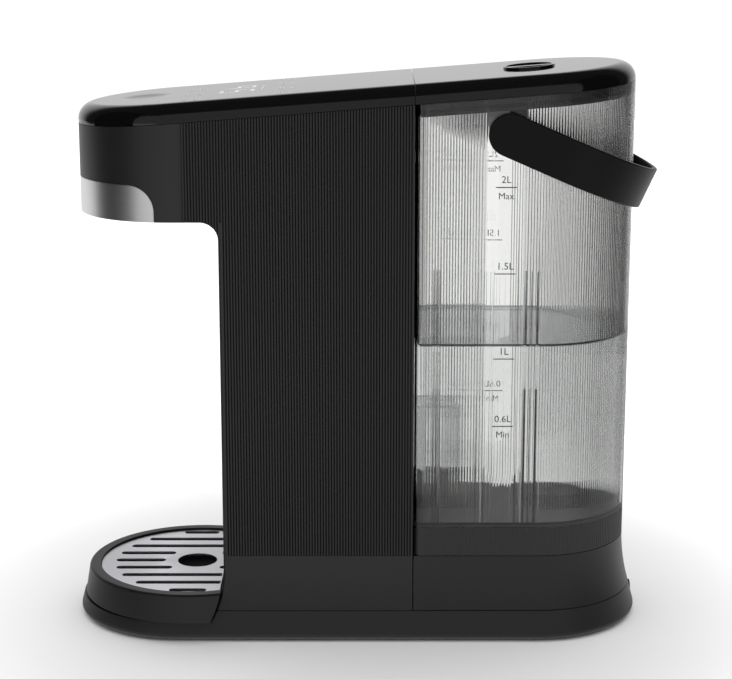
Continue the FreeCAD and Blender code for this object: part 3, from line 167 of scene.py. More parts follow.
def clean_shell(node, crease=30.0):
    """A CAD node's form as one closed mesh, its doubles merged, smooth with real edges left hard."""
    work = bmesh.new()
    work.from_mesh(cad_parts[node].data)
    bmesh.ops.remove_doubles(work, verts=work.verts, dist=0.002 * mm)
    bmesh.ops.dissolve_limit(work, angle_limit=math.radians(0.2), verts=work.verts, edges=work.edges)
    for face in work.faces:
        face.smooth = True
    for edge in work.edges:
        edge.smooth = len(edge.link_faces) == 2 and edge.calc_face_angle(0.0) < math.radians(crease)
    mesh = bpy.data.meshes.new(node + "_form")
    work.to_mesh(mesh)
    work.free()
    if "custom_normal" in mesh.attributes:
        mesh.attributes.remove(mesh.attributes["custom_normal"])
    return mesh


def even_shading(piece):
    """Let a piece's flats keep their own shading up to its hard or rounded edges."""
    piece.modifiers.new("shading", "WEIGHTED_NORMAL").keep_sharp = True


def soften(piece, width, segments=3, angle=30.0):
    """Round a piece's hard edges as a mould does."""
    bevel = piece.modifiers.new("edges", "BEVEL")
    bevel.width = width
    bevel.segments = segments
    bevel.limit_method = "ANGLE"
    bevel.angle_limit = math.radians(angle)
    bevel.harden_normals = True
    even_shading(piece)


def finish_nodes(finish, *nodes):
    """Give CAD nodes that keep their own form a better finish."""
    for node in nodes:
        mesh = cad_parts[node].data
        mesh.materials.clear()
        mesh.materials.append(finish.material)


def black_plastic(name, low, high, roughness, grain_depth, **constants):
    """Moulded black plastic: cloudy tone, fine grain and slightly uneven gloss."""
    finish = Finish(name, IOR=1.5, **constants)
    cloud = finish.noise(14.0, 3.0)
    grain = finish.noise(2600.0, 2.0)
    finish.set(Base_Color=finish.blend(cloud, tint(low), tint(high)))
    finish.set(Roughness=roughness - 0.06 + 0.12 * cloud + 0.06 * grain)
    finish.bump(grain, grain_depth, 0.35)
    return finish


def ease_seam(piece, width, chosen):
    """Break the sharp edges whose two ends are both chosen, so that two housings meet in a fine V."""
    mesh = piece.data
    weight = mesh.attributes.new("bevel_weight_edge", "FLOAT", "EDGE")
    for edge in mesh.edges:
        if edge.use_edge_sharp and all(chosen(mesh.vertices[i].co) for i in edge.vertices):
            weight.data[edge.index].value = 1.0
    bevel = piece.modifiers.new("seam", "BEVEL")
    bevel.width = width
    bevel.segments = 2
    bevel.limit_method = "WEIGHT"
    even_shading(piece)


seam_z = 17.8 * mm
seam_width = 0.45 * mm


def at_base_seam(spot):
    """On the level seam between the base and the two housings that stand on it."""
    return abs(spot.z - seam_z) < 0.2 * mm


body_black = black_plastic("body_black", 16, 22, 0.42, 0.03 * mm)
base = new_piece("base_housing", clean_shell("base_ring"), body_black, "housing",
                 ["base_ring"])
ease_seam(base, seam_width, at_base_seam)


# Cord gland, feet and screws under the base: a moulded rubber-like bush, four soft feet pressed in,
# and zinc-plated steel screws that hold column and cradle down.
foot_rubber = black_plastic("foot_rubber", 22, 34, 0.78, 0.08 * mm)
finish_nodes(foot_rubber, "feet", "cord_gland")
zinc = Finish("zinc_plated_steel", Metallic=1.0)
zinc_cloud = zinc.noise(420.0, 3.0)
zinc.set(Base_Color=zinc.blend(zinc_cloud, tint(150, 152, 150), tint(196, 198, 200)))
zinc.set(Roughness=0.25 + 0.2 * zinc_cloud)
finish_nodes(zinc, "base_screws", "wall_screws")


# Pump, flow meter and inlet socket on the base's floor: a drawn steel motor can on rubber mounts, a
# glass-filled black volute round a plated impeller, a white acetal meter with its turbine, and the
# pale socket with its pin that the tank's valve stands in.
motor_steel = Finish("drawn_motor_steel", Metallic=1.0)
draw_marks = motor_steel.noise(60.0, 3.0, (40.0, 1.0, 1.0))
motor_steel.set(Base_Color=motor_steel.blend(draw_marks, tint(120), tint(172)))
motor_steel.set(Roughness=0.28 + 0.2 * draw_marks)
finish_nodes(motor_steel, "pump_motor")
dark_mould = black_plastic("glass_filled_plastic", 26, 46, 0.6, 0.06 * mm)
finish_nodes(dark_mould, "pump_body")
finish_nodes(foot_rubber, "pump_mounts")
finish_nodes(zinc, "pump_impeller", "inlet_pin")


def pale_plastic(name, low, high, roughness=0.4):
    """Unpainted pale engineering plastic with faint flow clouds."""
    finish = Finish(name, IOR=1.48, Subsurface_Weight=0.08, Subsurface_Scale=0.002)
    flow = finish.noise(35.0, 4.0)
    finish.set(Base_Color=finish.blend(flow, tint(*low), tint(*high)))
    finish.set(Roughness=roughness - 0.08 + 0.16 * flow)
    finish.bump(finish.noise(900.0), 0.02 * mm, 0.3)
    return finish


acetal = pale_plastic("white_acetal", (214, 214, 208), (236, 236, 230))
finish_nodes(acetal, "flow_meter", "flow_turbine", "inlet_socket")


# Heater and steam chamber on the inner frame: a drawn steel tube between dark moulded caps, held to the
# pale frame by aluminium clamps, with metal-cased cut-outs and sensors pressed against it.
finish_nodes(motor_steel, "heater_tube")
finish_nodes(dark_mould, "heater_caps")
finish_nodes(acetal, "inner_frame", "steam_chamber")
aluminium = Finish("extruded_aluminium", Metallic=1.0)
extrusion = aluminium.noise(30.0, 3.0, (60.0, 60.0, 1.0))
aluminium.set(Base_Color=aluminium.blend(extrusion, tint(176, 178, 180), tint(214, 216, 218)))
aluminium.set(Roughness=0.3 + 0.2 * extrusion)
finish_nodes(aluminium, "heat_sink", "heater_clamps", "thermostats", "temp_sensors")


# Circuit boards and what is soldered to them: green glass-epoxy with faint tracks under the lacquer,
# dark moulded components and display, and plated springs that reach up to the touch panel.
board_green = Finish("lacquered_board", IOR=1.5, Coat_Weight=0.4, Coat_Roughness=0.1)
tracks = board_green.node("ShaderNodeTexBrick", {"offset": 0.37}, {
    "Vector": board_green.place(), "Scale": 90.0, "Mortar Size": 0.06,
    "Color1": tint(28, 92, 58), "Color2": tint(34, 104, 66), "Mortar": tint(70, 132, 84)})
board_green.set(Base_Color=tracks, Roughness=0.3 + 0.2 * board_green.noise(300.0))
finish_nodes(board_green, "power_board", "control_board")
component_black = black_plastic("component_black", 30, 58, 0.5, 0.05 * mm)
finish_nodes(component_black, "power_parts", "display_module")
touch_gold = Finish("plated_spring_wire", Metallic=1.0)
plating = touch_gold.noise(700.0)
touch_gold.set(Base_Color=touch_gold.blend(plating, tint(190, 150, 84), tint(226, 190, 120)))
touch_gold.set(Roughness=0.2 + 0.2 * plating)
finish_nodes(touch_gold, "touch_springs")


# Hoses, clips and seals: milky silicone rubber, the hoses extruded and the seals pressed in a mould.
# Clips of spring steel hold each hose on its spigots.
silicone = Finish("milky_silicone", IOR=1.42, Subsurface_Weight=0.3, Subsurface_Scale=0.004)
milk = silicone.noise(80.0, 3.0)
silicone.set(Base_Color=silicone.blend(milk, tint(206, 206, 200), tint(232, 232, 228)))
silicone.set(Roughness=0.42 + 0.16 * milk)
finish_nodes(silicone, "inlet_hose", "pump_hose", "meter_hose", "outlet_hose", "nozzle_seal",
             "inlet_seal", "valve_seal")
finish_nodes(zinc, "hose_clips")


# Column: one black ABS moulding with fluted sides under a smooth round head, on a flared foot.
# A dark rear wall, screwed on from behind, and the head's underside close it.
column_black = black_plastic("column_black", 17, 24, 0.4, 0.03 * mm)
column = new_piece("column", clean_shell("column_shell", 24.0), column_black, "housing",
                   ["column_shell"])
column_back = 28.5 * mm
back_seam_top = 70 * mm
ease_seam(column, seam_width, lambda spot: at_base_seam(spot)
          or abs(spot.x - column_back) < 0.05 * mm and spot.z < back_seam_top)
finish_nodes(dark_mould, "column_rear_wall", "head_underside")


# Spout trim and nozzle: a brushed stainless band, 1.2 mm thick, bonded into a recess round the front
# of the head, and the turned nozzle behind it.
trim_steel = Finish("brushed_trim_steel", Metallic=1.0, Anisotropic=0.4)
brush = trim_steel.noise(1.0, 4.0, (30.0, 30.0, 5200.0), 0.7)
trim_steel.set(Base_Color=trim_steel.blend(brush, tint(226, 226, 226), tint(250, 250, 250)))
trim_steel.set(Roughness=0.26 + 0.16 * brush)
trim_steel.bump(brush, 0.01 * mm, 0.25)
trim = new_piece("spout_band", clean_shell("spout_trim"), trim_steel, "housing", ["spout_trim"])
soften(trim, 0.25 * mm, 2, 50.0)
finish_nodes(trim_steel, "nozzle")


# Top panel: a gloss black cap over the head with a shallow round finger dish.
# It is moulded in a polished mould and sits on the head's rim.
gloss_black = Finish("gloss_black", IOR=1.5)
haze = gloss_black.noise(22.0, 3.0)
gloss_black.set(Base_Color=gloss_black.blend(haze, tint(7), tint(11)))
gloss_black.set(Roughness=0.04 + 0.04 * haze)
panel = new_piece("top_panel_cap", clean_shell("top_panel", 40.0), gloss_black, "housing",
                  ["top_panel"])
even_shading(panel)


# Print and display on the top panel: pale figures just on its surface, which read from the spout's end.
# Volumes stand in the row by the spout, two large figures in the middle and temperatures behind them.
panel_ink = Finish("panel_ink", IOR=1.45)
pale_cloud = panel_ink.noise(500.0, 2.0)
panel_ink.set(Base_Color=panel_ink.blend(pale_cloud, tint(196, 198, 202), tint(224, 226, 230)))
panel_ink.set(Roughness=0.38 + 0.1 * pale_cloud)
ink_thickness = 0.06 * mm


def settled(shape):
    """The plain mesh that a curve, or an object with its modifiers, comes to. The object goes."""
    graph = bpy.context.evaluated_depsgraph_get()
    mesh = bpy.data.meshes.new_from_object(shape.evaluated_get(graph), depsgraph=graph)
    bpy.data.objects.remove(shape)
    return mesh


def flat_text(words, capital_height):
    """Text as points and faces in its own plane, centred, scaled by the height of its capitals."""
    half_depth = 0.02
    curve = bpy.data.curves.new("print", "FONT")
    curve.body = words
    curve.align_x = "CENTER"
    curve.resolution_u = 3
    curve.extrude = half_depth
    mesh = settled(in_scene("print", curve))
    scale = capital_height / max(v.co.y for v in mesh.vertices)
    points = [(v.co.x * scale, v.co.y * scale, (v.co.z / (2 * half_depth) + 0.5) * ink_thickness)
              for v in mesh.vertices]
    return points, [tuple(p.vertices) for p in mesh.polygons]


def flat_bar(x, y, width, height):
    """A printed bar, as points and faces in the print's own plane."""
    points = [(x + sx * width / 2, y + sy * height / 2, z)
              for z in (0.0, ink_thickness) for sx, sy in ((-1, -1), (1, -1), (1, 1), (-1, 1))]
    sides = [(i, (i + 1) % 4, (i + 1) % 4 + 4, i + 4) for i in range(4)]
    return points, [(3, 2, 1, 0), (4, 5, 6, 7)] + sides


def shifted(shape, x, y):
    points, faces = shape
    return [(px + x, py + y, pz) for px, py, pz in points], faces


def printed(name, shapes, across, up, out, origin, finish, body):
    """One printed piece from flat shapes, laid on a face given by two directions and its outward one."""
    work = bmesh.new()
    sunk = ink_thickness / 3
    for points, faces in shapes:
        made = [work.verts.new(origin + across * px + up * py + out * (pz - sunk)) for px, py, pz in points]
        for face in faces:
            work.faces.new([made[i] for i in face])
    bmesh.ops.remove_doubles(work, verts=work.verts, dist=0.0005 * mm)
    bmesh.ops.recalc_face_normals(work, faces=work.faces)
    mesh = bpy.data.meshes.new(name)
    work.to_mesh(mesh)
    work.free()
    new_piece(name, mesh, finish, body)


digit_bars = {"a": (0, 1, 0), "b": (1, 0.5, 1), "c": (1, -0.5, 1), "d": (0, -1, 0), "e": (-1, -0.5, 1),
              "f": (-1, 0.5, 1), "g": (0, 0, 0)}


def segment_digit(lit, x, width, height, stroke):
    """A display figure from its lit bars."""
    shapes = []
    for key in lit:
        bar_x, bar_y, is_upright = digit_bars[key]
        size = (stroke, height / 2 - stroke * 1.3) if is_upright else (width - stroke * 1.3, stroke)
        shapes.append(flat_bar(x + bar_x * (width - stroke) / 2, bar_y * (height - stroke) / 2, *size))
    return shapes


figure_aside, figure_width, figure_height, figure_stroke = 10.0 * mm, 13.0 * mm, 19.0 * mm, 2.0 * mm
volume_row, unit_row, tick_row, heat_row, dot_row = -22.6 * mm, -28.0 * mm, 13.6 * mm, 21.5 * mm, 30.0 * mm
volume_height, unit_height, heat_height = 4.4 * mm, 3.0 * mm, 5.0 * mm
dot_side, tick_width, tick_stroke, tick_spread = 2.0 * mm, 3.4 * mm, 0.8 * mm, 0.25
panel_print = (segment_digit("abcfg", -figure_aside, figure_width, figure_height, figure_stroke)
               + segment_digit("acdfg", figure_aside, figure_width, figure_height, figure_stroke))
for aside_mm, volume, heat in ((-38.0, "150", "45"), (-13.0, "250", "75"), (13.0, "350", "85"),
                               (38.0, "500", "100")):
    aside = aside_mm * mm
    panel_print += [shifted(flat_text(volume, volume_height), aside, volume_row),
                    shifted(flat_text("ml", unit_height), aside, unit_row),
                    shifted(flat_text(heat + "\u00b0", heat_height), aside, heat_row),
                    flat_bar(aside, dot_row, dot_side, dot_side),
                    flat_bar(aside * tick_spread, tick_row, tick_width, tick_stroke)]
cap_slope = 0.077
slope_along = Vector((1, 0, cap_slope)).normalized()
slope_out = Vector((-slope_along.z, 0, slope_along.x))
figures_x = -67.8 * mm
panel_top_at_0 = 306.5 * mm
figures_place = Vector((figures_x, 0, panel_top_at_0 + cap_slope * figures_x))
printed("panel_print", panel_print, Vector((0, -1, 0)), slope_along, slope_out, figures_place, panel_ink,
        "housing")


# Tank cradle: the smooth flared body behind the column, with the deck that the tank stands on.
# It is moulded in the base's black ABS, screwed to the base, and butts against the column.
cradle = new_piece("rear_cradle", clean_shell("tank_cradle"), body_black, "housing",
                   ["tank_cradle"])
cradle_front = 28.8 * mm
ease_seam(cradle, seam_width, lambda spot: at_base_seam(spot) or abs(spot.x - cradle_front) < 0.05 * mm)


# Tank: one clear copolyester moulding, 2.5 mm thick, fluted outside and smooth inside.
# A plain strip on each side leaves the level marks readable, and a bored boss inside each wall takes
# a pin of the handle.
clear_plastic = Finish("clear_copolyester", IOR=1.5, Transmission_Weight=1.0)
flow_lines = clear_plastic.noise(9.0, 2.0)
clear_plastic.set(Base_Color=clear_plastic.blend(flow_lines, tint(244, 245, 244), tint(251, 251, 250)))
clear_plastic.set(Roughness=0.02 * flow_lines)


class Growth(Plan):
    """A geometry tree with named sizes, which is grown once into a plain mesh."""

    def __init__(self, name, **sizes):
        self.sizes = sizes
        self.tree = bpy.data.node_groups.new(name, "GeometryNodeTree")
        new_socket = self.tree.interface.new_socket
        new_socket("Geometry", in_out="OUTPUT", socket_type="NodeSocketGeometry")
        self.sockets = {key: new_socket(key, in_out="INPUT", socket_type="NodeSocketFloat") for key in sizes}
        self.entry = self.tree.nodes.new("NodeGroupInput")

    def size(self, key):
        return Wire(self, self.entry.outputs[key])

    def grow(self, geometry, finish):
        """Close the tree with real copies and a material, and return the mesh that it makes."""
        solid = self.node("GeometryNodeRealizeInstances", None, {0: geometry})
        dressed = self.node("GeometryNodeSetMaterial", None, {0: solid, "Material": finish.material})
        out = self.tree.nodes.new("NodeGroupOutput")
        self.tree.links.new(dressed.socket, out.inputs[0])
        seed = in_scene(self.tree.name, bpy.data.meshes.new(self.tree.name))
        modifier = seed.modifiers.new("growth", "NODES")
        modifier.node_group = self.tree
        for key, value in self.sizes.items():
            modifier[self.sockets[key].identifier] = value
        return settled(seed)


def switch(condition, when_true, when_false):
    return when_false + condition * (when_true - when_false)


def between(g, value, start, end, reached=1.0):
    """0 to the level reached as a value goes from start to end, with soft ends."""
    return g.node("ShaderNodeMapRange", {"interpolation_type": "SMOOTHSTEP"},
                  {"Value": value, "From Min": start, "From Max": end, "To Min": 0.0, "To Max": reached})


def parts_of(g, vector):
    """The x, y and z of a vector, as three wires."""
    node = g.node("ShaderNodeSeparateXYZ", None, {0: vector}).socket.node
    return [Wire(g, socket) for socket in node.outputs]


def plan_curve(g, half, front, centre, corner):
    """The tank's plan about its own middle: flat in front with two small corners, round behind."""
    length = centre + half - front
    box = g.node("GeometryNodeCurvePrimitiveQuadrilateral", None, {"Width": length, "Height": 2.0 * half})
    x = parts_of(g, g.node("GeometryNodeInputPosition"))[0]
    radius = switch(x > 0.0, half * 0.9999, corner)
    curve = g.node("GeometryNodeFilletCurve", {"mode": "POLY"}, {"Curve": box, "Count": 64, "Radius": radius})
    return curve, front + length / 2.0


def fluted_wall(name, finish, dense_rows=12, steps=12, **sizes):
    """Wall on the tank's plan, from a grid that runs round the plan one way and over its section the other.

    The flutes are in the outer face, but not in the flat front or in the two plain window strips.
    Row 0 is the outer foot. The dense rows cross the round feet of the strips. Then come the outer
    top, the inner top and the inner foot.
    """
    g = Growth(name, **sizes)
    half, front, centre, corner = [g.size(key) for key in ("half_width", "front_x", "round_x", "corner")]
    pitch, depth, wall = [g.size(key) for key in ("pitch", "depth", "wall")]
    window, strip, foot = [g.size(key) for key in ("window_x", "strip_half", "strip_foot")]
    low, inner_low, top, slope = [g.size(key) for key in ("low_z", "inner_low_z", "top_at_0", "slope")]
    curve, middle = plan_curve(g, half, front, centre, corner)
    round_trip = 2 * (sizes["round_x"] - sizes["front_x"]) + (2 + math.pi) * sizes["half_width"]
    columns = round(round_trip / sizes["pitch"] * steps)
    grid = g.node("GeometryNodeMeshGrid", None, {"Size X": 1.0, "Size Y": 1.0, "Vertices X": columns,
                                                 "Vertices Y": dense_rows + 4})
    grid_x, grid_y = parts_of(g, g.node("GeometryNodeInputPosition"))[:2]
    turn = grid_x + 0.5
    run = turn * (turn < 0.99999) * g.node("GeometryNodeCurveLength", None, {0: curve})
    row = (grid_y + 0.5) * (dense_rows + 3.0)
    sample = g.node("GeometryNodeSampleCurve", {"mode": "LENGTH", "use_all_curves": True},
                    {"Curves": curve, "Length": run}).socket.node
    px, py = parts_of(g, Wire(g, sample.outputs["Position"]))[:2]
    tx, ty = parts_of(g, Wire(g, sample.outputs["Tangent"]))[:2]
    side = g.node("ShaderNodeMath", {"operation": "SIGN"}, {0: px * ty - py * tx})
    in_strip_rows = (row > 0.5) * (row < dense_rows + 0.5)
    at_top = (row > dense_rows + 0.5) * (row < dense_rows + 2.5)
    inner = row > dense_rows + 1.5
    dense_span, dense_dip, fade_width = 1.15, 0.1, 2.4 * mm
    strip_z = foot + (row - 1.0) / (dense_rows - 1.0) * strip * dense_span
    x = px + middle
    wall_z = switch(at_top, top + slope * x, switch(inner, inner_low, low))
    z = switch(in_strip_rows, strip_z - dense_dip * strip, wall_z)
    across = g.node("ShaderNodeMath", {"operation": "ABSOLUTE"}, {0: x - window})
    below = g.node("ShaderNodeMath", {"operation": "MINIMUM"}, {0: z - foot - strip, 1: 0.0})
    reach = g.node("ShaderNodeMath", {"operation": "SQRT"}, {0: across * across + below * below})
    plain = 1.0 - between(g, reach, strip, strip + fade_width)
    flat_front = 1.0 - between(g, x, front + corner, front + corner + fade_width)
    wave = g.node("ShaderNodeMath", {"operation": "COSINE"}, {0: run / pitch * (2.0 * math.pi)})
    groove = (0.5 - 0.5 * wave) * (1.0 - plain) * (1.0 - flat_front) * (1.0 - inner)
    inset = (depth * groove + wall * inner) * side
    spot = g.node("ShaderNodeCombineXYZ", None, {0: x - inset * ty, 1: py + inset * tx, 2: z})
    wrapped = g.node("GeometryNodeSetPosition", None, {"Geometry": grid, "Position": spot})
    closed = g.node("GeometryNodeMergeByDistance", None, {"Geometry": wrapped, "Distance": 0.002 * mm})
    return g.grow(closed, finish)


def tidy_normals(mesh, crease=60.0):
    """Faces outward, smooth over the flutes, with the rims left hard."""
    work = bmesh.new()
    work.from_mesh(mesh)
    bmesh.ops.recalc_face_normals(work, faces=work.faces)
    for face in work.faces:
        face.smooth = True
    for edge in work.edges:
        edge.smooth = len(edge.link_faces) == 2 and edge.calc_face_angle(0.0) < math.radians(crease)
    work.to_mesh(mesh)
    work.free()
    return mesh


def open_loops(work):
    """The open edges of a wall, as one loop for each height, the lowest first."""
    loops = {}
    for edge in work.edges:
        if edge.is_boundary:
            loops.setdefault(round(edge.verts[0].co.z / mm, 2), []).append(edge)
    return [loops[height] for height in sorted(loops)]


def close_cup(mesh, hole_x, hole_r, hole_steps=72):
    """Give a wall its floor, as thick as its two open loops are apart, with a round hole for the valve."""
    work = bmesh.new()
    work.from_mesh(mesh)
    rims = []
    for loop in open_loops(work):
        z = loop[0].verts[0].co.z
        ring = []
        for i in range(hole_steps):
            turn = 2 * math.pi * i / hole_steps
            ring.append(work.verts.new((hole_x + hole_r * math.cos(turn), hole_r * math.sin(turn), z)))
        circle = [work.edges.new((ring[i], ring[(i + 1) % hole_steps])) for i in range(hole_steps)]
        bmesh.ops.triangle_fill(work, edges=loop + circle)
        rims.append(ring)
    for i in range(hole_steps):
        after = (i + 1) % hole_steps
        work.faces.new((rims[0][i], rims[0][after], rims[1][after], rims[1][i]))
    bmesh.ops.recalc_face_normals(work, faces=work.faces)
    work.to_mesh(mesh)
    work.free()
    return mesh


tank_low, tank_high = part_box("tank_body")
tank_half = tank_high.y
tank_round_x = tank_high.x - tank_half
tank_corner = 5.0 * mm
tank_top_at_0 = 296.0 * mm
tank_wall_thickness = 2.5 * mm
tank_floor_thickness = 2.6 * mm
flute_pitch = 1.55 * mm
flute_depth = 0.3 * mm
window_x = 77.3 * mm
window_half = 9.4 * mm
window_foot = 93.0 * mm
valve_x = 111.0 * mm
valve_hole_r = 9.3 * mm
floor_top = tank_low.z + tank_floor_thickness
wall_sizes = {"half_width": tank_half, "front_x": tank_low.x, "round_x": tank_round_x, "corner": tank_corner,
              "pitch": flute_pitch, "depth": flute_depth, "wall": tank_wall_thickness, "window_x": window_x}
wall_mesh = fluted_wall("tank_wall", clear_plastic, strip_half=window_half, strip_foot=window_foot,
                        low_z=tank_low.z, inner_low_z=floor_top, top_at_0=tank_top_at_0, slope=cap_slope,
                        **wall_sizes)
wall_mesh = close_cup(wall_mesh, valve_x, valve_hole_r)


def drum(name, radius, centre_x, centre_z, y_from, y_to, steps=64):
    """Closed round bar that lies across the tank."""
    turns = [2 * math.pi * i / steps for i in range(steps)]
    rim = [(centre_x + radius * math.cos(turn), centre_z + radius * math.sin(turn)) for turn in turns]
    points = [(x, y, z) for y in (y_from, y_to) for x, z in rim]
    faces = [(i, (i + 1) % steps, (i + 1) % steps + steps, i + steps) for i in range(steps)]
    mesh = bpy.data.meshes.new(name)
    mesh.from_pydata(points, [], faces + [tuple(range(steps - 1, -1, -1)), tuple(range(steps, 2 * steps))])
    tidy_normals(mesh, 40.0)
    return mesh


def joined(name, mesh, tools):
    """A mesh after each tool, in order, is united with it or cut from it."""
    whole = in_scene(name, mesh)
    helpers = []
    for operation, tool_mesh in tools:
        helper = in_scene(name + "_tool", tool_mesh)
        helpers.append(helper)
        step = whole.modifiers.new(operation, "BOOLEAN")
        step.operation = operation
        step.solver = "MANIFOLD"
        step.object = helper
    result = settled(whole)
    for helper in helpers:
        bpy.data.objects.remove(helper)
    return result


pivot_x, pivot_z = 78.9 * mm, 282.8 * mm
inner_face = tank_half - tank_wall_thickness
boss_r, boss_root, boss_tip = 7.0 * mm, inner_face + 0.4 * mm, inner_face - 3.4 * mm
bore_r, bore_mouth, bore_end = 4.05 * mm, tank_half + 1.0 * mm, tank_half - 4.6 * mm
pivot_tools = [("UNION", drum("boss", boss_r, pivot_x, pivot_z, y_sign * boss_root, y_sign * boss_tip))
               for y_sign in (-1, 1)]
pivot_tools += [("DIFFERENCE", drum("bore", bore_r, pivot_x, pivot_z, y_sign * bore_mouth, y_sign * bore_end))
                for y_sign in (-1, 1)]
wall_mesh = joined("tank_wall", wall_mesh, pivot_tools)
new_piece("tank_shell", tidy_normals(wall_mesh), None, "tank", ["tank_body"])


# Level marks: grey ink, pad-printed on the two plain strips, a line and a number for each level.
# Those on the far side read from behind, so from the front they show mirrored through the tank.
mark_ink = Finish("mark_ink", IOR=1.45)
ink_cloud = mark_ink.noise(700.0, 2.0)
mark_ink.set(Base_Color=mark_ink.blend(ink_cloud, tint(44), tint(66)), Roughness=0.5 + 0.2 * ink_cloud)
line_width, line_stroke = 11.2 * mm, 0.55 * mm
number_height, number_rise = 3.7 * mm, 2.4 * mm
word_height, word_drop = 3.4 * mm, 6.3 * mm
level_marks = []
for height_mm, number, word in ((254.6, "2L", "Max"), (207.8, "1.5L", None), (160.8, "1L", None),
                                (122.9, "0.6L", "Min")):
    z = height_mm * mm
    level_marks.append(flat_bar(0.0, z, line_width, line_stroke))
    level_marks.append(shifted(flat_text(number, number_height), 0.0, z + number_rise))
    if word:
        level_marks.append(shifted(flat_text(word, word_height), 0.0, z - word_drop))
upright = Vector((0, 0, 1))
for side_name, y_sign in (("near", -1), ("far", 1)):
    printed("level_marks_" + side_name, level_marks, Vector((-y_sign, 0, 0)), upright, Vector((0, y_sign, 0)),
            Vector((window_x, y_sign * tank_half, 0)), mark_ink, "tank")


# Water in the tank, up to a little over the one-litre mark, with the edge that it draws up the wall.
# It reaches a hair into the wall, so that light passes from plastic to water with no air between them.
water_finish = Finish("drinking_water", IOR=1.33, Transmission_Weight=1.0)
ripple = water_finish.noise(25.0, 1.0)
water_level = 167.2 * mm
water_skin = 0.03 * mm
# Painted shade: the water's top skin and the edge it draws up the wall are tinted darker grey than the rest
# of the water, standing in for the dark band that the surface shows.
painted_shade_depth = 0.05 * mm
painted_surface_shade = parts_of(water_finish, water_finish.place())[2] > water_level - painted_shade_depth
body_tone = water_finish.blend(ripple, tint(228, 229, 229), tint(236, 237, 237))
water_finish.set(Base_Color=water_finish.blend(painted_surface_shade, body_tone, tint(164, 166, 168)))
water_finish.set(Roughness=0.01 * ripple)


def plan_ring(work, inset, z, corner_steps=10, round_steps=120):
    """A ring of points on the tank's inner plan, drawn in by an inset, at one height."""
    half = tank_half - tank_wall_thickness - inset
    front = tank_low.x + tank_wall_thickness + inset
    corner = max(tank_corner - tank_wall_thickness - inset, 0.5 * mm)
    points = []
    for i in range(round_steps + 1):
        turn = math.pi * (i / round_steps - 0.5)
        points.append((tank_round_x + half * math.cos(turn), half * math.sin(turn), z))
    for side, start in ((1, 90), (-1, 180)):
        for i in range(corner_steps + 1):
            turn = math.radians(start + 90 * i / corner_steps)
            points.append((front + corner + corner * math.cos(turn),
                           side * (half - corner) + corner * math.sin(turn), z))
    return [work.verts.new(p) for p in points]


def stacked_rings(name, sections):
    """Closed body from rings that lie one above the other, each given by its inset and height."""
    work = bmesh.new()
    rings = [plan_ring(work, inset, z) for inset, z in sections]
    count = len(rings[0])
    for low_ring, high_ring in zip(rings[:-1], rings[1:]):
        for i in range(count):
            after = (i + 1) % count
            work.faces.new((low_ring[i], low_ring[after], high_ring[after], high_ring[i]))
    work.faces.new(list(reversed(rings[0])))
    work.faces.new(rings[-1])
    bmesh.ops.recalc_face_normals(work, faces=work.faces)
    mesh = bpy.data.meshes.new(name)
    work.to_mesh(mesh)
    work.free()
    return mesh


edge_rise = 1.6 * mm
edge_reach = 2.2 * mm
edge_steps = 8
water_sections = [(-water_skin, floor_top - water_skin), (-water_skin, water_level + edge_rise)]
for i in range(1, edge_steps + 1):
    share = i / edge_steps
    water_sections.append((edge_reach * share, water_level + edge_rise * (1 - share) ** 3))
water_mesh = tidy_normals(stacked_rings("water", water_sections), 50.0)
new_piece("tank_water", water_mesh, water_finish, "tank")


# Base ring, valve and strainer of the tank: dark smoked mouldings welded or screwed to its floor.
# The ring carries on the flutes of the wall, and a pale poppet and nut with a steel spring sit in the valve.
ring_black = black_plastic("smoked_ring", 24, 32, 0.35, 0.03 * mm)
ring_low, ring_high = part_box("tank_base_ring")
strip_out_of_reach = {"window_x": 10.0, "strip_half": 0.1 * mm, "strip_foot": ring_low.z + 1 * mm}
ring_mesh = fluted_wall("foot_ring", ring_black, dense_rows=2, low_z=ring_low.z, inner_low_z=ring_low.z,
                        top_at_0=ring_high.z, slope=0.0, **{**wall_sizes, **strip_out_of_reach})
work = bmesh.new()
work.from_mesh(ring_mesh)
bmesh.ops.bridge_loops(work, edges=[e for e in work.edges if e.is_boundary])
work.to_mesh(ring_mesh)
work.free()
new_piece("tank_foot_ring", tidy_normals(ring_mesh), None, "tank", ["tank_base_ring"])
finish_nodes(dark_mould, "valve_body", "tank_strainer")
finish_nodes(acetal, "valve_nut", "valve_poppet")
finish_nodes(zinc, "valve_spring")


# Float and its cage: a pale foam float with a sintered magnet, sliding in a clear cage inside the tank.
# The sensor in its dark case feels the magnet when the tank runs low.
cage_clear = Finish("frosted_cage", IOR=1.5, Transmission_Weight=1.0)
frost = cage_clear.noise(500.0, 2.0)
cage_clear.set(Base_Color=cage_clear.blend(frost, tint(226, 228, 228), tint(244, 245, 245)))
cage_clear.set(Roughness=0.04 + 0.08 * frost)
finish_nodes(cage_clear, "float_cage")
foam = pale_plastic("float_foam", (196, 196, 190), (226, 226, 220), 0.7)
finish_nodes(foam, "float")
ferrite = Finish("sintered_magnet", Metallic=0.6)
sinter = ferrite.noise(1500.0, 3.0)
ferrite.set(Base_Color=ferrite.blend(sinter, tint(62), tint(96)), Roughness=0.4 + 0.3 * sinter)
finish_nodes(ferrite, "float_magnet")
finish_nodes(dark_mould, "level_sensor")


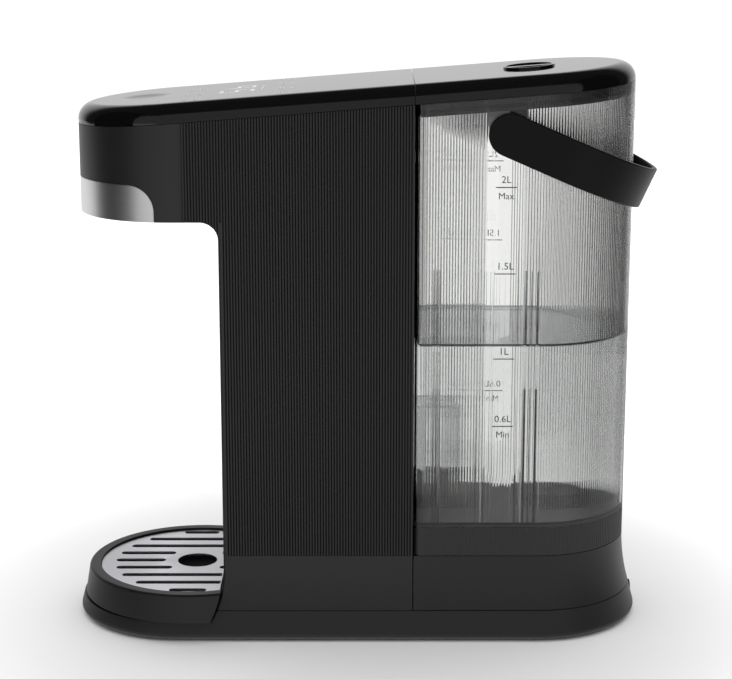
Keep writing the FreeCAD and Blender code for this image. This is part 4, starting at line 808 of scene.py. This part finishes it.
# Lid: a gloss black cap with a dark inner skirt that drops into the tank, and a round grip.
# The parts are moulded and snapped together, with a rubber seal stretched over the skirt.
lid = new_piece("tank_lid_cap", clean_shell("tank_lid", 40.0), gloss_black, "lid",
                ["tank_lid"])
even_shading(lid)
finish_nodes(foot_rubber, "lid_seal")
skirt_black = black_plastic("skirt_black", 30, 40, 0.4, 0.03 * mm)
new_piece("lid_inner_skirt", clean_shell("lid_skirt"), skirt_black, "lid", ["lid_skirt"])
knob = new_piece("lid_grip", clean_shell("lid_knob"), gloss_black, "lid", ["lid_knob"])
soften(knob, 0.35 * mm, 3, 40.0)


# Handle: a flat black bail of nylon, bent round the back of the tank, with a pin inside each arm.
# Its arms spring apart, so that the pins snap into the bores of the tank.
arm_slimmer = 0.87
handle_fall = 21.0
handle_black = black_plastic("handle_nylon", 7, 11, 0.36, 0.03 * mm, Specular_IOR_Level=0.13)
handle_form = clean_shell("tank_handle")
pivot = Vector((pivot_x, 0.0, pivot_z))
along_arm = Vector((math.cos(math.radians(handle_fall)), 0.0, -math.sin(math.radians(handle_fall))))
across_arm = Vector((along_arm.z, 0.0, -along_arm.x))
for vertex in handle_form.vertices:
    reach = vertex.co - pivot
    across = reach.dot(across_arm)
    vertex.co -= across_arm * across * (1.0 - arm_slimmer)
    if reach.dot(along_arm) < 0.0:
        vertex.co -= along_arm * reach.dot(along_arm) * (1.0 - arm_slimmer)
handle = new_piece("carry_handle", handle_form, handle_black, "handle", ["tank_handle"])
soften(handle, 0.6 * mm, 3, 40.0)


# Drip tray: a black bowl, moulded in the base's plastic, that catches what runs through the grille.
# It slides onto the tongue of the base and pulls out to be emptied.
tray = new_piece("drip_bowl", clean_shell("drip_tray"), body_black, "tray", ["drip_tray"])
even_shading(tray)


# Drip grille: pressed stainless sheet, slotted in nine rows round a dished centre hole.
# It is brushed one way and lies loose in the rim of the tray.
grille_steel = Finish("brushed_grille_steel", Metallic=1.0, Anisotropic=0.3)
lines = grille_steel.noise(1.0, 4.0, (60.0, 4200.0, 60.0), 0.7)
grille_steel.set(Base_Color=grille_steel.blend(lines, tint(222, 221, 226), tint(246, 245, 250)))
grille_steel.set(Roughness=0.3 + 0.18 * lines)
grille_steel.bump(lines, 0.01 * mm, 0.25)
grille = new_piece("slotted_grille", clean_shell("drip_grille"), grille_steel, "grille",
                   ["drip_grille"])
soften(grille, 0.2 * mm, 2, 40.0)


# Studio: a pale floor under a large soft overhead lamp, with a white surround and a bright sky behind.
# Two dark cards beside the camera give gloss and glass their edges. Other cards show only through the
# glass, or only in the gloss.
floor_half = 2.6
glow_start, glow_end, glow_level = 0.16, 0.4, 0.5
black, white = (0, 0, 0, 1), (1, 1, 1, 1)


def floor_sheet(name, z):
    """A square sheet as wide as the studio, at one height."""
    corners = ((-1, -1), (1, -1), (1, 1), (-1, 1))
    mesh = bpy.data.meshes.new(name)
    mesh.from_pydata([(sx * floor_half, sy * floor_half, z) for sx, sy in corners], [], [(0, 1, 2, 3)])
    return mesh


def add_stage(name, mesh, finish, *unseen_in):
    """Studio sheet or card, hidden from some kinds of ray."""
    mesh.materials.append(finish.material)
    thing = in_scene(name, mesh)
    for ray in unseen_in:
        setattr(thing, "visible_" + ray, False)


floor_finish = Finish("studio_floor", Roughness=0.9, Emission_Strength=1.0)
paper = floor_finish.noise(3.0, 2.0)
floor_finish.set(Base_Color=floor_finish.blend(paper, tint(232), tint(235)))
# Painted light: the floor glows more the further it lies from the object and not at all close to it, so a
# painted darker halo lies round the base on top of the lamp's real contact shadow.
away = floor_finish.node("ShaderNodeVectorMath", {"operation": "LENGTH"}, {0: floor_finish.place()}, "Value")
painted_floor_glow = between(floor_finish, away, glow_start, glow_end)
floor_finish.set(Emission_Color=floor_finish.blend(painted_floor_glow, black, (glow_level, glow_level, glow_level, 1)))
add_stage("studio_floor", floor_sheet("floor", 0), floor_finish, "glossy", "transmission")


def surround_mesh(name, radius, low, high, start, end, steps=48):
    """Upright curved wall round the object, between two angles counted from the camera's side."""
    points = []
    for i in range(steps + 1):
        turn = math.radians(start + (end - start) * i / steps)
        x, y = radius * math.sin(turn), -radius * math.cos(turn)
        points += [(x, y, low), (x, y, high)]
    faces = [(2 * i, 2 * i + 2, 2 * i + 3, 2 * i + 1) for i in range(steps)]
    mesh = bpy.data.meshes.new(name)
    mesh.from_pydata(points, [], faces)
    return mesh


def add_card(name, mesh, finish, *unseen_in):
    """Studio card that takes no part in the lighting of matt surfaces."""
    add_stage(name, mesh, finish, "diffuse", "shadow", *unseen_in)


white_wall = Finish("white_surround", Base_Color=black, Emission_Strength=1.03)
white_cloud = white_wall.noise(1.0, 1.0)
white_wall.set(Emission_Color=white_wall.blend(white_cloud, white, (0.99, 0.99, 0.99, 1)))
add_card("white_surround", surround_mesh("white_surround", 2.5, 0.0, 3.0, -180, 180), white_wall, "glossy",
         "transmission")
black_card = Finish("black_card", Roughness=1.0, Specular_IOR_Level=0.0)
card_cloud = black_card.noise(2.0, 1.0)
black_card.set(Base_Color=black_card.blend(card_cloud, tint(4), tint(8)))
for side, start, end in (("left", -100, -48), ("right", 50, 100)):
    card_mesh = surround_mesh("card_" + side, 0.8, 0.0, 1.2, start, end, 16)
    add_card("dark_card_" + side, card_mesh, black_card, "camera")


def ramp(finish, value, points):
    """Brightness that runs softly through pairs of a place and a level."""
    total = points[0][1]
    for (start, low), (end, high) in zip(points[:-1], points[1:]):
        total = between(finish, value, start, end, high - low) + total
    return total


def glowing_card(name, along_x, along_y=((0.0, 1.0), (1.0, 1.0))):
    """Card finish that glows by its own x and y."""
    finish = Finish(name, Base_Color=black, Roughness=1.0, Specular_IOR_Level=0.0, Emission_Strength=1.0)
    x, y = parts_of(finish, finish.place())[:2]
    level = ramp(finish, x, along_x) * ramp(finish, y, along_y)
    finish.set(Emission_Color=finish.blend(level, black, white))
    return finish


glass_floor_z, gloss_floor_z = -0.001, -0.002
glass_card = glowing_card("glass_backdrop", [(-0.01, 0.05), (0.09, 1.0), (0.24, 1.0), (0.36, 0.05)])
add_card("glass_backdrop", surround_mesh("glass_backdrop", 0.45, 0.001, 1.2, 90, 270), glass_card, "camera",
         "glossy")
add_card("glass_floor", floor_sheet("glass_floor", glass_floor_z), glass_card, "camera", "glossy")
gloss_along_x = [(-1.3, 1.5), (-0.6, 0.38), (-0.45, 0.4), (-0.25, 0.85), (-0.08, 1.2), (0.15, 1.05),
                 (0.5, 2.4)]
gloss_along_y = [(-0.9, 1.25), (-0.12, 0.55), (0.0, 0.55), (0.15, 1.7)]
gloss_card = glowing_card("gloss_floor", gloss_along_x, gloss_along_y)
add_card("gloss_floor", floor_sheet("gloss_floor", gloss_floor_z), gloss_card, "camera", "transmission")


class Sky(Plan):
    """The world's own tree, bright where its direction points behind the object."""

    def __init__(self):
        world = bpy.data.worlds.new("studio_sky")
        bpy.context.scene.world = world
        world.use_nodes = True
        self.tree = world.node_tree
        self.tree.nodes.clear()
        out = self.tree.nodes.new("ShaderNodeOutputWorld")
        self.shader = self.tree.nodes.new("ShaderNodeBackground")
        self.tree.links.new(self.shader.outputs[0], out.inputs[0])


sky = Sky()
behind, height = parts_of(sky, sky.node("ShaderNodeTexCoord", output="Generated"))[1:]
dim_sky, back_bright, front_bright = 0.05, 1.05, 0.5
backdrop = between(sky, behind, 0.5, 0.8) * (1 - between(sky, height, 0.45, 0.7))
front_glow = between(sky, 0.0 - behind, 0.5, 0.75) * (1 - between(sky, height, 0.56, 0.64))
sky.feed(sky.shader.inputs["Strength"], dim_sky + back_bright * backdrop + front_bright * front_glow)

lamp_side, lamp_height, lamp_power = 10.0, 3.2, 440.0
lamp = bpy.data.lights.new("overhead", "AREA")
lamp.shape = "RECTANGLE"
lamp.size = lamp_side
lamp.size_y = lamp_side
lamp.energy = lamp_power
lamp_object = in_scene("overhead", lamp)
lamp_object.location = (0.0, 0.0, lamp_height)
for ray in ("camera", "glossy", "transmission"):
    setattr(lamp_object, "visible_" + ray, False)

camera_lens, camera_tilt, camera_place = 94.9, 76.86, (0.0027, -1.069, 0.409)
camera_data = bpy.data.cameras.new("camera")
camera_data.lens = camera_lens
camera_data.sensor_width = 36.0
camera = in_scene("camera", camera_data)
camera.location = camera_place
camera.rotation_euler = (math.radians(camera_tilt), 0.0, 0.0)

light_bounces = 28
scene = bpy.context.scene
scene.camera = camera
scene.view_settings.view_transform = "Standard"
scene.cycles.max_bounces = light_bounces
scene.cycles.transmission_bounces = light_bounces
